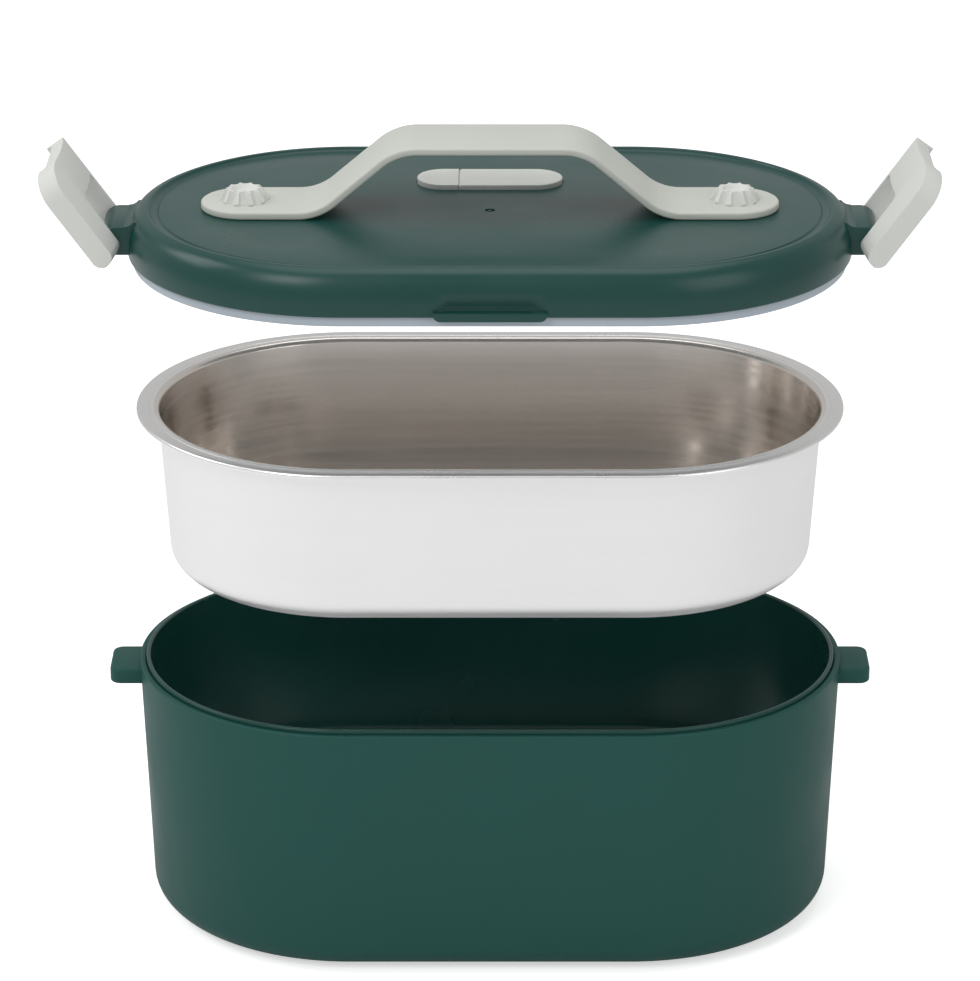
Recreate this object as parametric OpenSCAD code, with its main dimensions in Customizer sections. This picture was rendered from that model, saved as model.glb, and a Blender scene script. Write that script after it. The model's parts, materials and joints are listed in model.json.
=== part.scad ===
// Electric lunch box: an obround heated base, a lift-out steel tray and a
// lift-off lid that two end clips latch to the base.
// Drawn with the tray and the lid raised above the base and the clips open.
// Every obround shares one pair of end axes, so a wall is set by its radius.

/* [Base] */
// Length of the base at its rim
body_len = 231; // [220:1:246]
// Width of the base at its rim
body_w = 140; // [134:1:148]
// Height of the base from the underside of its shell to its rim
body_h = 85; // [80:0.5:90]
// Wall of the outer shell
shell_wall = 2; // [1.8:0.1:2.4]
// How far the shell leans in from its rim to its foot
shell_lean = 3; // [2:0.5:4]
// Rounding between the shell's side and its underside
shell_foot_r = 8; // [6:0.5:9]
// Height of the inner lip above the shell's rim
lip_h = 1.2; // [0.8:0.1:1.5]
// Wall of the inner liner
liner_wall = 1.5; // [1.2:0.1:1.7]
// Height of the rubber feet below the shell
foot_h = 1.5; // [1:0.5:3]
// Diameter of a rubber foot
foot_d = 12; // [9:1:15]

/* [Latch lugs] */
// Width of each lug, along the end of the base
lug_w = 20; // [14:1:22]
// How far each lug stands out from the rim
lug_out = 9.6; // [8.4:0.2:10.4]
// Height of each lug
lug_h = 5.4; // [4:0.2:7]
// Depth of the lug's top below the lip
lug_drop = 3.6; // [2.4:0.1:5]

/* [Tray] */
// Height of the tray
tray_h = 56; // [50:0.5:57]
// Sheet thickness of the tray
tray_sheet = 0.6; // [0.5:0.1:0.9]
// Width of the tray's flat rim
tray_rim_w = 5.5; // [4.5:0.1:6.5]
// Height of the hem that is folded under the rim
tray_hem_h = 1.2; // [1:0.1:1.5]
// How far the tray's wall leans in from top to bottom
tray_lean = 3.8; // [2:0.2:5]
// Radius between the tray's wall and its floor
tray_floor_r = 7; // [4:0.5:9]

/* [Lid] */
// Height of the cover from its lower edge to its ridge
lid_h = 14.4; // [13.6:0.1:16]
// Wall of the cover
lid_wall = 2; // [1.6:0.1:2.4]
// How far the ridge lies inside the cover's outline
ridge_in = 6; // [5:0.1:7]
// Depth of the centre panel below the ridge
panel_drop = 1; // [0.5:0.1:1.4]
// Height of the seal that shows below the cover
seal_h = 3.4; // [2.6:0.1:4.4]
// How far the seal lies inside the cover's outline
seal_in = 1.5; // [1:0.1:2]
// Width of the finger tab at the front
tab_w = 35; // [20:1:50]

/* [Clips] */
// Width of a clip
clip_w = 44; // [38:1:48]
// Length of a clip from its pivot to its tip
clip_len = 32; // [29:0.5:36]
// Thickness of a clip
clip_t = 6.3; // [5.6:0.1:6.8]
// Width of the ear that carries a clip
ear_w = 24; // [18:1:28]
// Height of the ear
ear_h = 9.4; // [8.4:0.2:9.8]
// Height of the pivot above the cover's lower edge
pivot_h = 4.2; // [3.8:0.1:4.8]
// Diameter of the pivot pin
pin_d = 2.6; // [2:0.1:3]
// Lean of an open clip from upright
open_lean = 35.5; // [25:0.5:50]

/* [Handle] */
// Width of the handle strap
strap_w = 28; // [24:0.5:30]
// Thickness of the strap
strap_t = 2.6; // [2.2:0.1:3.4]
// Rise of the strap's bow above its flat ends
strap_rise = 21; // [16:0.5:23]
// Length of the flat top of the bow
strap_top = 46; // [36:1:56]
// Run of each slope of the bow
strap_slope = 38; // [34:0.5:42]
// Radius of the bends of the bow
bow_r = 18; // [8:0.5:19]
// Distance between the two studs
stud_pitch = 156; // [150:1:160]
// Diameter of a stud's foot
stud_d = 15.5; // [13:0.5:17]
// Height of a stud above the strap
stud_h = 4; // [3:0.1:6]

/* [Vent] */
// Length of the vent plug and its anchor together
vent_len = 47; // [40:1:54]
// Width of the vent plug
vent_w = 18; // [14:0.5:20]
// Thickness of the vent plug
vent_t = 2.6; // [2:0.1:3.4]
// Distance of the vent behind the middle of the lid
vent_y = 28; // [26.5:0.5:32]
// Diameter of the steam hole
vent_hole_d = 5; // [3:0.5:7]

/* [Heater] */
// Thickness of the heating plate
plate_t = 3.2; // [2.8:0.1:4]
// Thickness of the plate's gasket
gasket_t = 1.2; // [0.8:0.1:1.6]
// Length of the heater block
heater_l = 80; // [60:1:84]
// Width of the heater block
heater_w = 32; // [24:1:40]
// Thickness of the heater block
heater_t = 6; // [5:0.1:7]

/* [Power inlet] */
// Width of the inlet's cavity
inlet_w = 16; // [14:0.5:18]
// Height of the inlet's cavity
inlet_h = 8; // [7:0.5:8.5]
// Distance between the inlet's pins
inlet_pitch = 8.6; // [7:0.1:9.5]
// Distance from the inlet to the indicator lamp
lamp_x = 20; // [18:0.5:22]
// Diameter of the indicator lens
lens_d = 5; // [3:0.5:6]

/* [Raised layout] */
// Height that the tray is raised above its seat
tray_raised = 86; // [60:0.5:110]
// Height that the lid is raised above the tray
lid_raised = 48.5; // [40:0.5:80]

/* [Fits] */
// Clearance of a part that lifts or swings
free_gap = 0.3; // [0.2:0.05:0.4]
// Clearance between fixed parts
fit_gap = 0.1; // [0.05:0.05:0.15]

/* [Hidden] */
$fn = 64;
eps = 0.01;

// Colours of the finishes
GREEN = [0.17, 0.31, 0.29];
GREY = [0.80, 0.81, 0.79];
SEAL_GREY = [0.66, 0.68, 0.72];
STEEL = [0.80, 0.79, 0.78];
ALLOY = [0.70, 0.71, 0.72];
BLACK = [0.12, 0.12, 0.13];
BRASS = [0.76, 0.63, 0.35];

// Obround outlines: the end axes and the shell's radii
end_x = (body_len - body_w) / 2;
r_rim = body_w / 2;
r_foot = r_rim - shell_lean;
z_foot = foot_h;
z_lip = foot_h + body_h;
z_rim = z_lip - lip_h;

// Underside: the cover lies in a recess, below a ledge of the shell
cover_t = 2;
ledge_t = 2;
cover_r = r_foot - shell_foot_r - shell_wall - 2.5;
z_ledge = z_foot + cover_t + ledge_t;
post_d = 7;
post_r = cover_r - post_d / 2 - 0.3;
ledge_r = post_r - post_d / 2;
post_x = 30;
post_spots = [[-post_x, -post_r], [post_x, -post_r], [-post_x, post_r], [post_x, post_r],
              [-end_x - post_r, 0], [end_x + post_r, 0]];
foot_out = 16;
foot_in = 22;
foot_spots = [for (i = [-1, 1], j = [-1, 1]) [i * (end_x + foot_out), j * (cover_r - foot_in)]];
cover_screw_l = 10;

// Screws, all of one size
screw_d = 2.9;
screw_hole_d = screw_d + 2 * fit_gap;
head_d = 5.4;
head_h = 1.8;

// Seat of the tray, from its rim on the lip down to the heating plate
z_tray = z_lip + fit_gap + tray_sheet - tray_h;
tray_r = r_rim - 1.2;
mouth_r = tray_r - tray_rim_w;
tray_floor_w = 5;
tray_step_h = 2;

// Heating plate, its gasket and the liner's floor below them
z_plate_top = z_tray - free_gap;
z_plate = z_plate_top - plate_t;
z_liner_floor = z_plate - gasket_t;
z_liner_under = z_liner_floor - liner_wall;
liner_r_top = r_rim - shell_wall - fit_gap;
liner_r_foot = r_foot - shell_wall - fit_gap;
liner_floor_r = 6;
plate_r = liner_r_foot - liner_wall - liner_floor_r - 1.5;
opening_r = plate_r - 19;
gasket_r = opening_r + 3;
gasket_w = 4;
plate_screw_r = gasket_r + gasket_w + 5;
plate_screw_angle = 60;
plate_screw_x = end_x + plate_screw_r * cos(plate_screw_angle);
plate_screw_y = plate_screw_r * sin(plate_screw_angle);
plate_screw_spots = [[0, -plate_screw_r], [0, plate_screw_r],
                     [-plate_screw_x, -plate_screw_y], [-plate_screw_x, plate_screw_y],
                     [plate_screw_x, -plate_screw_y], [plate_screw_x, plate_screw_y]];

// Heater block under the plate, held by a strip across two bosses
boss_d = 7;
boss_x = heater_l / 2 + boss_d / 2 + 1.5;
clamp_t = 1.2;
clamp_w = 14;
z_heater = z_plate - heater_t;
tab_t = 0.8;
tab_l = 7;
tab_y = heater_w / 4;

// Thermostat and thermal fuse, one beyond each end of the heater
clamp_end = 2;
thermo_x = (boss_x + boss_d / 2 + clamp_end + end_x + opening_r) / 2;
thermo_flange_d = 17;
thermo_ear_w = 8;
thermo_d = 12.8;
thermo_h = 8.6;
thermo_cap_d = 15.6;
thermo_cap_h = 1.6;
thermo_flange_t = 0.6;
thermo_ear = 12;
thermo_pin_l = 6;
fuse_x = boss_x + boss_d / 2 + 8;
fuse_d = 5;
fuse_l = 26;
fuse_clip_w = 8;
fuse_foot_x = fuse_x + 9;

// Power inlet in the back wall, midway between the ledge and the liner
z_inlet = (z_ledge + z_liner_under) / 2 + 0.85;
inlet_rim = 2.2;
inlet_flange_t = 1.4;
inlet_depth = 12;
inlet_back = 3;
r_inlet = shell_r(z_inlet + inlet_h / 2 + inlet_rim);
inlet_pin_d = 2.4;
inlet_tail = 5;
lamp_d = 4;
lamp_l = 11;
wire_d = 2;
lead_d = 1.2;

// The lid closed on the tray, and how far each piece is raised here
z_flange_top = z_lip + fit_gap + tray_sheet;
seat_gap = 0.1;
z_lid = z_flange_top + seat_gap + seal_h;
tray_up = tray_raised;
lid_up = tray_raised + lid_raised;

// Cover of the lid
r_lid = r_rim;
ridge_r = r_lid - ridge_in;
lid_side_h = 3.5;
panel_r = ridge_r - 4;
z_panel = lid_h - panel_drop;
skirt_in = r_lid - lid_wall;

// Inner lid: a shallow dish whose flange lies inside the cover's skirt
inner_t = 1.4;
inner_flange_r = skirt_in - fit_gap;
seal_r = r_lid - seal_in;
seal_in_r = mouth_r - 1.2;
seal_top = 1.8;
dish_r = seal_in_r - fit_gap;
dish_depth = seal_h + 1.5;

// Clips: curved round the same end axes as the shell
clip_mid_r = r_rim + lug_out - 1.9;
clip_out_r = clip_mid_r + clip_t / 2;
clip_in_r = clip_mid_r - clip_t / 2;
arm_w = (clip_w - ear_w) / 2 - free_gap;
arm_y = clip_w / 2 - arm_w / 2;
pivot_r = sqrt(pow(clip_mid_r, 2) - pow(arm_y, 2));
pivot_x = end_x + pivot_r;
ear_end_x = pivot_x + 2.4;
ear_z0 = pivot_h - 3;
z_pivot = z_lid + pivot_h;
z_lug_top = z_lip - lug_drop;
z_lug = z_lug_top - lug_h;
notch_depth = z_pivot - z_lug + 0.25;
arm_end_r = clip_t / 2;
clip_corner_r = 9;
notch_corner_r = 2.5;
pin_reach = 6;
open_turn = 180 - open_lean;
lip_cut = 2.4;

// Handle strap and its studs
strap_r = strap_w / 2;
strap_len = stud_pitch + strap_w;
z_strap = z_panel;
bow_reach = norm([strap_slope / 2, bow_r - strap_rise / 2]);
bow_angle = asin(bow_r / bow_reach) - atan2(bow_r - strap_rise / 2, strap_slope / 2);
stud_top_d = stud_d * 0.71;
stud_shank_d = 6;
flute_n = 10;
flute_d = 2.4;

// Vent: a pocket in the panel, an anchor and a plug that hinges at the anchor
pocket_depth = 1.2;
z_pocket = z_panel - pocket_depth;
pad_t = 1.6;
anchor_len = 13;
vent_r = vent_w / 2;
knuckle_x = -vent_len / 2 + anchor_len + vent_t / 2 + free_gap;
vent_hole_x = 4;
nub_depth = 1.3;
stem_d = 4;

// Radius of the shell's outer face at a height
function shell_r(z) =
    r_foot + shell_lean * (z - z_foot - shell_foot_r) / (z_rim - z_foot - shell_foot_r);

// Points of an arc
function arc(c, r, a0, a1, n = 8) =
    [for (i = [0:n]) c + r * [cos(a0 + (a1 - a0) * i / n), sin(a0 + (a1 - a0) * i / n)]];

// A path moved sideways by d, to its left
function unit(v) = v / norm(v);
function left_of(v) = [-v[1], v[0]];
function moved(p, d) =
    [for (i = [0:len(p) - 1])
        let (a = unit(p[max(i, 1)] - p[max(i, 1) - 1]),
             b = unit(p[min(i + 1, len(p) - 1)] - p[min(i, len(p) - 2)]),
             n = left_of(a) + left_of(b))
        p[i] + 2 * d * n / (n * n)];
function reversed(p) = [for (i = [len(p) - 1:-1:0]) p[i]];

// A sheet of thickness t along a path
module sheet(path, t) {
    polygon(concat(moved(path, t / 2), reversed(moved(path, -t / 2))));
}

// Turns a radius-height profile into an obround ring or dish
module obround() {
    for (m = [0, 1]) mirror([m, 0, 0]) translate([end_x, 0, 0]) rotate([0, 0, -90])
        rotate_extrude(angle = 180) children();
    for (m = [0, 1]) mirror([0, m, 0]) rotate([90, 0, 90])
        linear_extrude(2 * end_x, center = true) children();
}

// A flat obround of radius r
module stadium(r, half = end_x) {
    for (m = [-1, 1]) translate([m * half, 0]) circle(r);
    square([2 * half, 2 * r], center = true);
}

// A rectangle with round corners
module round_rect(x, y, r) {
    square([x - 2 * r, y], center = true);
    square([x, y - 2 * r], center = true);
    for (i = [-1, 1], j = [-1, 1]) translate([i * (x / 2 - r), j * (y / 2 - r)]) circle(r);
}

// A pan-head screw, head down, with its head's face at z = 0
module screw(length) {
    translate([0, 0, -head_h]) cylinder(d = head_d, h = head_h);
    translate([0, 0, -eps]) cylinder(d = screw_d, h = length + eps);
}

// A round wire along straight runs that lie along the axes, with round elbows
module wire(points, d, bend = 2) {
    last = len(points) - 2;
    for (i = [0:last]) {
        v = unit(points[i + 1] - points[i]);
        start = i > 0 ? bend : 0;
        stop = i < last ? bend : 0;
        translate(points[i] + start * v) rotate([0, acos(v[2]), atan2(v[1], v[0])])
            cylinder(d = d, h = norm(points[i + 1] - points[i]) - start - stop);
    }
    for (i = [0:last - 1]) {
        u = unit(points[i + 1] - points[i]);
        v = unit(points[i + 2] - points[i + 1]);
        w = cross(u, v);
        upright = abs(v[2]) > 0.5;
        turn = upright ? [0, 90 * v[2], atan2(-u[0], u[1])]
                       : [atan2(u[2], w[2]), 0, atan2(-v[1], -v[0])];
        translate(points[i + 1] - bend * u + bend * v) rotate(turn)
            rotate_extrude(angle = 90) translate([bend, 0]) circle(d = d);
    }
}

// ---- Base ----

module outer_shell() {
    side = concat(
        [[cover_r + fit_gap, z_foot]],
        arc([r_foot - shell_foot_r, z_foot + shell_foot_r], shell_foot_r, -90, 0, 10),
        [[r_rim, z_rim - 0.4], [r_rim - 0.4, z_rim], [r_rim - shell_wall, z_rim]],
        arc([r_foot - shell_foot_r, z_foot + shell_foot_r], shell_foot_r - shell_wall, 0, -90, 8),
        [[cover_r + fit_gap + shell_wall, z_foot + shell_wall],
         [cover_r + fit_gap + shell_wall, z_ledge], [ledge_r, z_ledge],
         [ledge_r, z_foot + cover_t], [cover_r + fit_gap, z_foot + cover_t]]);
    color(GREEN) difference() {
        union() {
            obround() polygon(side);
            for (m = [0, 1]) mirror([m, 0, 0]) lug();
        }
        for (p = post_spots) translate([p[0], p[1], z_foot])
            cylinder(d = screw_hole_d, h = z_ledge - z_foot + 1);
        translate([0, r_inlet, z_inlet]) rotate([90, 0, 0])
            linear_extrude(12, center = true)
                round_rect(inlet_w + 2 * inlet_rim + 2 * fit_gap - 2,
                           inlet_h + 2 * inlet_rim + 2 * fit_gap - 2, 2);
        translate([lamp_x, r_inlet, z_inlet]) rotate([90, 0, 0])
            cylinder(d = lens_d + 2 * fit_gap, h = 12, center = true);
    }
}

// One latch lug, with its outer corners rounded
module lug() {
    root_x = end_x + sqrt(pow(r_rim - shell_wall, 2) - pow(lug_w / 2, 2)) - 0.2;
    tip_x = end_x + r_rim + lug_out;
    r = 3.5;
    difference() {
        translate([0, 0, z_lug]) linear_extrude(lug_h) {
            translate([root_x, -lug_w / 2]) square([tip_x - r - root_x, lug_w]);
            translate([root_x, -lug_w / 2 + r]) square([tip_x - root_x, lug_w - 2 * r]);
            for (j = [-1, 1]) translate([tip_x - r, j * (lug_w / 2 - r)]) circle(r);
        }
        translate([end_x, 0, z_lug - 1]) cylinder(r = r_rim - shell_wall, h = lug_h + 2, $fn = 180);
        rotate([90, 0, 0]) linear_extrude(lug_w + 2, center = true)
            polygon([[tip_x - 1.8, z_lug - eps], [tip_x + eps, z_lug - eps], [tip_x + eps, z_lug + 1.8]]);
        rotate([90, 0, 0]) linear_extrude(lug_w + 2, center = true)
            polygon([[tip_x - 0.7, z_lug_top + eps], [tip_x + eps, z_lug_top + eps],
                     [tip_x + eps, z_lug_top - 0.7]]);
    }
}

module inner_liner() {
    t = liner_wall / 2;
    path = concat(
        [[liner_r_top - t, z_lip]],
        arc([liner_r_foot - t - liner_floor_r, z_liner_floor - t + liner_floor_r],
            liner_floor_r, 0, -90, 8),
        [[opening_r, z_liner_floor - t]]);
    color(GREEN * 0.8) difference() {
        union() {
            obround() sheet(path, liner_wall);
            for (p = post_spots) translate([p[0], p[1], z_ledge])
                cylinder(d = post_d, h = z_liner_floor - t - z_ledge);
        }
        for (p = post_spots) translate([p[0], p[1], z_ledge - 1])
            cylinder(d = screw_hole_d, h = 9);
        for (p = plate_screw_spots) translate([p[0], p[1], z_liner_under - 1])
            cylinder(d = screw_hole_d, h = liner_wall + 2);
    }
}

module heating_plate() {
    edge = 0.8;
    color(ALLOY) difference() {
        union() {
            translate([0, 0, z_plate]) linear_extrude(plate_t - edge) stadium(plate_r);
            obround() polygon([[0, z_plate_top - edge - eps], [plate_r, z_plate_top - edge - eps],
                               [plate_r, z_plate_top - edge], [plate_r - edge, z_plate_top],
                               [0, z_plate_top]]);
            for (m = [-1, 1]) translate([m * boss_x, 0, z_heater])
                cylinder(d = boss_d, h = heater_t + 1);
        }
        for (p = plate_screw_spots) translate([p[0], p[1], z_plate - 1])
            cylinder(d = screw_hole_d, h = 1 + plate_t - 0.8);
        for (m = [-1, 1]) translate([m * boss_x, 0, z_heater - 1])
            cylinder(d = screw_hole_d, h = 1 + heater_t);
        for (j = [-1, 1]) translate([thermo_x, j * thermo_ear, z_plate - 1])
            cylinder(d = screw_hole_d, h = 1 + plate_t - 0.8);
        translate([-fuse_foot_x, 0, z_plate - 1])
            cylinder(d = screw_hole_d, h = 1 + plate_t - 0.8);
    }
}

module plate_gasket() {
    color([0.75, 0.3, 0.2]) translate([0, 0, z_liner_floor]) linear_extrude(gasket_t)
        difference() {
            stadium(gasket_r + gasket_w);
            stadium(gasket_r);
        }
}

module plate_screws() {
    color(STEEL) for (p = plate_screw_spots) translate([p[0], p[1], z_liner_under])
        screw(liner_wall + gasket_t + plate_t - 1.2);
}

module heater_block() {
    slots = 4;
    color(ALLOY) difference() {
        translate([-heater_l / 2, -heater_w / 2, z_heater]) cube([heater_l, heater_w, heater_t]);
        for (i = [1:slots]) translate([-heater_l / 2 - 1, -heater_w / 2 + heater_w * i / (slots + 1) - 0.6,
                                       z_heater - 1])
            cube([heater_l + 2, 1.2, 2.2]);
    }
}

module heater_clamp() {
    color(STEEL) translate([0, 0, z_heater - clamp_t]) linear_extrude(clamp_t) difference() {
        round_rect(2 * boss_x + boss_d + 2 * clamp_end, clamp_w, 3);
        for (m = [-1, 1]) translate([m * boss_x, 0]) circle(d = screw_hole_d);
    }
}

module clamp_screws() {
    color(STEEL) for (m = [-1, 1]) translate([m * boss_x, 0, z_heater - clamp_t])
        screw(clamp_t + heater_t - 1);
}

// Two flat tabs, one at each end of the heater
module heater_tabs() {
    color(BRASS) for (m = [0, 1]) mirror([m, 0, 0])
        translate([heater_l / 2, -tab_y - 2.4, z_heater + heater_t / 2 - tab_t / 2])
            cube([tab_l, 4.8, tab_t]);
}

module thermostat() {
    color(BLACK) translate([thermo_x, 0, z_plate - thermo_cap_h - thermo_h])
        cylinder(d = thermo_d, h = thermo_h + eps);
    color(BLACK) translate([thermo_x, 0, z_plate - thermo_cap_h])
        cylinder(d = thermo_cap_d, h = thermo_cap_h);
    color(BRASS) for (m = [-1, 1])
        translate([thermo_x + m * 3.6 - 0.4, -2.4, z_plate - thermo_cap_h - thermo_h - thermo_pin_l + 3])
            cube([0.8, 4.8, thermo_pin_l - 3 + 0.5]);
}

module thermostat_flange() {
    color(STEEL) translate([thermo_x, 0, z_plate - thermo_cap_h - thermo_flange_t])
        linear_extrude(thermo_flange_t) difference() {
            union() {
                circle(d = thermo_flange_d);
                round_rect(thermo_ear_w, 2 * thermo_ear + thermo_ear_w - 1, 3);
            }
            circle(d = thermo_d + 2 * fit_gap);
            for (j = [-1, 1]) translate([0, j * thermo_ear]) circle(d = screw_hole_d);
        }
}

module thermostat_screws() {
    color(STEEL) for (j = [-1, 1])
        translate([thermo_x, j * thermo_ear, z_plate - thermo_cap_h - thermo_flange_t])
            screw(thermo_cap_h + thermo_flange_t + plate_t - 1.2);
}

module thermal_fuse() {
    color([0.85, 0.82, 0.7]) translate([-fuse_x, 0, z_plate - fuse_d / 2]) rotate([90, 0, 0])
        cylinder(d = fuse_d, h = fuse_l, center = true);
}

module fuse_clip() {
    t = 1.2;
    color(STEEL) difference() {
        union() {
            translate([-fuse_x - fuse_d / 2 - t, -fuse_clip_w / 2, z_plate - fuse_d - t])
                cube([fuse_d + 2 * t, fuse_clip_w, fuse_d + t]);
            translate([-fuse_foot_x - 4.5, -fuse_clip_w / 2, z_plate - t]) cube([12, fuse_clip_w, t]);
        }
        translate([-fuse_x, 0, z_plate - fuse_d / 2]) rotate([90, 0, 0])
            cylinder(d = fuse_d + 2 * fit_gap, h = fuse_clip_w + 2, center = true);
        translate([-fuse_foot_x, 0, z_plate - t - 1]) cylinder(d = screw_hole_d, h = t + 2);
    }
}

module fuse_screw() {
    color(STEEL) translate([-fuse_foot_x, 0, z_plate - 1.2]) screw(plate_t);
}

module inlet_socket() {
    depth = inlet_depth + inlet_back;
    body_x = inlet_w + 2 * inlet_rim - 2;
    body_z = inlet_h + 2 * inlet_rim - 2;
    color(BLACK) translate([0, r_inlet + fit_gap, z_inlet]) rotate([90, 0, 0]) difference() {
        union() {
            translate([0, 0, -inlet_flange_t]) linear_extrude(inlet_flange_t)
                round_rect(inlet_w + 2 * inlet_rim, inlet_h + 2 * inlet_rim, 2.5);
            linear_extrude(depth) round_rect(body_x, body_z, 2);
        }
        translate([0, 0, -inlet_flange_t - 1]) linear_extrude(inlet_flange_t + 1 + inlet_depth)
            stadium(inlet_h / 2, inlet_w / 2 - inlet_h / 2);
        for (m = [-1, 1]) translate([m * inlet_pitch / 2, 0, 0])
            cylinder(d = inlet_pin_d + 2 * fit_gap, h = depth + 1);
    }
}

module inlet_pins() {
    color(BRASS) for (m = [-1, 1])
        translate([m * inlet_pitch / 2, r_inlet - 2, z_inlet]) rotate([90, 0, 0])
            cylinder(d = inlet_pin_d, h = inlet_depth + inlet_back + inlet_tail - 2);
}

module indicator_lens() {
    color([0.85, 0.2, 0.15]) translate([lamp_x, r_inlet + fit_gap, z_inlet]) rotate([90, 0, 0]) {
        translate([0, 0, -0.9]) cylinder(d = lens_d + 1.6, h = 0.9);
        cylinder(d = lens_d, h = shell_wall + 3);
    }
}

module neon_lamp() {
    color([0.9, 0.8, 0.7]) translate([lamp_x, r_inlet - shell_wall - 3.2, z_inlet]) rotate([90, 0, 0])
        cylinder(d = lamp_d, h = lamp_l);
}

// Wires of the base: the tails of the inlet's pins, the fuse and the tabs
y_tail = r_inlet - inlet_depth - inlet_back - inlet_tail - eps;
y_lead = r_inlet - inlet_depth - inlet_back - 3.5;
y_lamp = r_inlet - shell_wall - 3.2 - lamp_l - eps;
x_lead = inlet_pitch / 2 + inlet_pin_d / 2 + eps;
z_fuse = z_plate - fuse_d / 2;
z_spade = z_plate - thermo_cap_h - thermo_h - 1.5;
z_low = z_ledge + 1.5;
wire_x = heater_l / 2 + tab_l + eps;
spade_x = 3.6 + 0.4 + eps;
cross_y = 27.5;
front_y = -24;
spade_run = 11;

module wire_live() {
    x = -inlet_pitch / 2;
    color([0.55, 0.35, 0.2]) wire([[x, y_tail, z_inlet], [x, cross_y, z_inlet],
        [-fuse_x, cross_y, z_inlet], [-fuse_x, cross_y, z_fuse],
        [-fuse_x, fuse_l / 2 + eps, z_fuse]], wire_d);
}

module wire_fuse() {
    y = -fuse_l / 2 - 5;
    x = -wire_x - 3.5;
    color([0.55, 0.35, 0.2]) wire([[-fuse_x, -fuse_l / 2 - eps, z_fuse], [-fuse_x, y, z_fuse],
        [x, y, z_fuse], [x, -tab_y, z_fuse], [-wire_x, -tab_y, z_fuse]], wire_d);
}

module wire_neutral() {
    x = inlet_pitch / 2;
    y = cross_y + 6.5;
    color([0.2, 0.35, 0.6]) wire([[x, y_tail, z_inlet], [x, y, z_inlet], [x, y, z_low],
        [thermo_x - 9, y, z_low], [thermo_x - 9, 0, z_low], [thermo_x - 9, 0, z_spade],
        [thermo_x - spade_x, 0, z_spade]], wire_d, 1.9);
}

module wire_thermostat() {
    x = wire_x + 3.5;
    far_x = thermo_x + spade_run;
    color([0.2, 0.35, 0.6]) wire([[thermo_x + spade_x, 0, z_spade], [far_x, 0, z_spade],
        [far_x, front_y, z_spade], [x, front_y, z_spade], [x, front_y, z_fuse], [x, -tab_y, z_fuse],
        [wire_x, -tab_y, z_fuse]], wire_d);
}

module lamp_lead_near() {
    x = lamp_x - 1;
    color([0.85, 0.85, 0.85]) wire([[x, y_lamp, z_inlet], [x, y_lead, z_inlet],
        [x_lead, y_lead, z_inlet]], lead_d, 1.5);
}

module lamp_lead_far() {
    x = lamp_x + 1;
    y = y_lead - 6;
    far_x = -x_lead - 3.5;
    color([0.85, 0.85, 0.85]) wire([[x, y_lamp, z_inlet], [x, y, z_inlet], [x, y, z_inlet - 4],
        [far_x, y, z_inlet - 4], [far_x, y, z_inlet], [far_x, y_lead, z_inlet],
        [-x_lead, y_lead, z_inlet]], lead_d, 1.5);
}

module bottom_cover() {
    color(BLACK) difference() {
        translate([0, 0, z_foot]) linear_extrude(cover_t - fit_gap) stadium(cover_r);
        for (p = post_spots) translate([p[0], p[1], z_foot - 1]) cylinder(d = screw_hole_d, h = 5);
        for (p = post_spots) translate([p[0], p[1], z_foot - 1])
            cylinder(d = head_d + 2 * fit_gap, h = 2.1);
        for (p = foot_spots) translate([p[0], p[1], z_foot - 1])
            cylinder(d = foot_d + 2 * fit_gap, h = 1.5);
    }
}

module cover_screws() {
    color(STEEL) for (p = post_spots) translate([p[0], p[1], z_foot + 1.1 - fit_gap])
        screw_low(cover_screw_l);
}

// A screw with a low head, sunk in the cover
module screw_low(length) {
    translate([0, 0, -1]) cylinder(d = head_d, h = 1);
    translate([0, 0, -eps]) cylinder(d = screw_d, h = length + eps);
}

module rubber_feet() {
    color(BLACK) for (p = foot_spots) translate([p[0], p[1], 0]) {
        cylinder(d1 = foot_d - 1, d2 = foot_d, h = 0.6);
        translate([0, 0, 0.6 - eps]) cylinder(d = foot_d, h = foot_h + 0.4 - 0.6);
    }
}

// ---- Tray ----

module food_tray() {
    t = tray_sheet / 2;
    mouth_fold = 1.6;
    wall_foot_r = mouth_r - mouth_fold - tray_lean;
    path = concat(
        [[tray_r - t, tray_h - tray_hem_h]],
        arc([tray_r - t - 0.5, tray_h - t - 0.5], 0.5, 0, 90, 4),
        arc([mouth_r, tray_h - t - mouth_fold], mouth_fold, 90, 180, 5),
        arc([wall_foot_r - tray_floor_r + t, tray_step_h + t + tray_floor_r], tray_floor_r, 0, -90, 8),
        [[wall_foot_r - tray_floor_r - tray_floor_w, tray_step_h + t],
         [wall_foot_r - tray_floor_r - tray_floor_w - 1.2, t], [0, t]]);
    color(STEEL) translate([0, 0, z_tray + tray_up]) obround() sheet(path, tray_sheet);
}

// ---- Lid ----

// Moves a piece that is drawn on the closed cover's lower edge to the raised lid
module on_lid() {
    translate([0, 0, z_lid + lid_up]) children();
}

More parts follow.
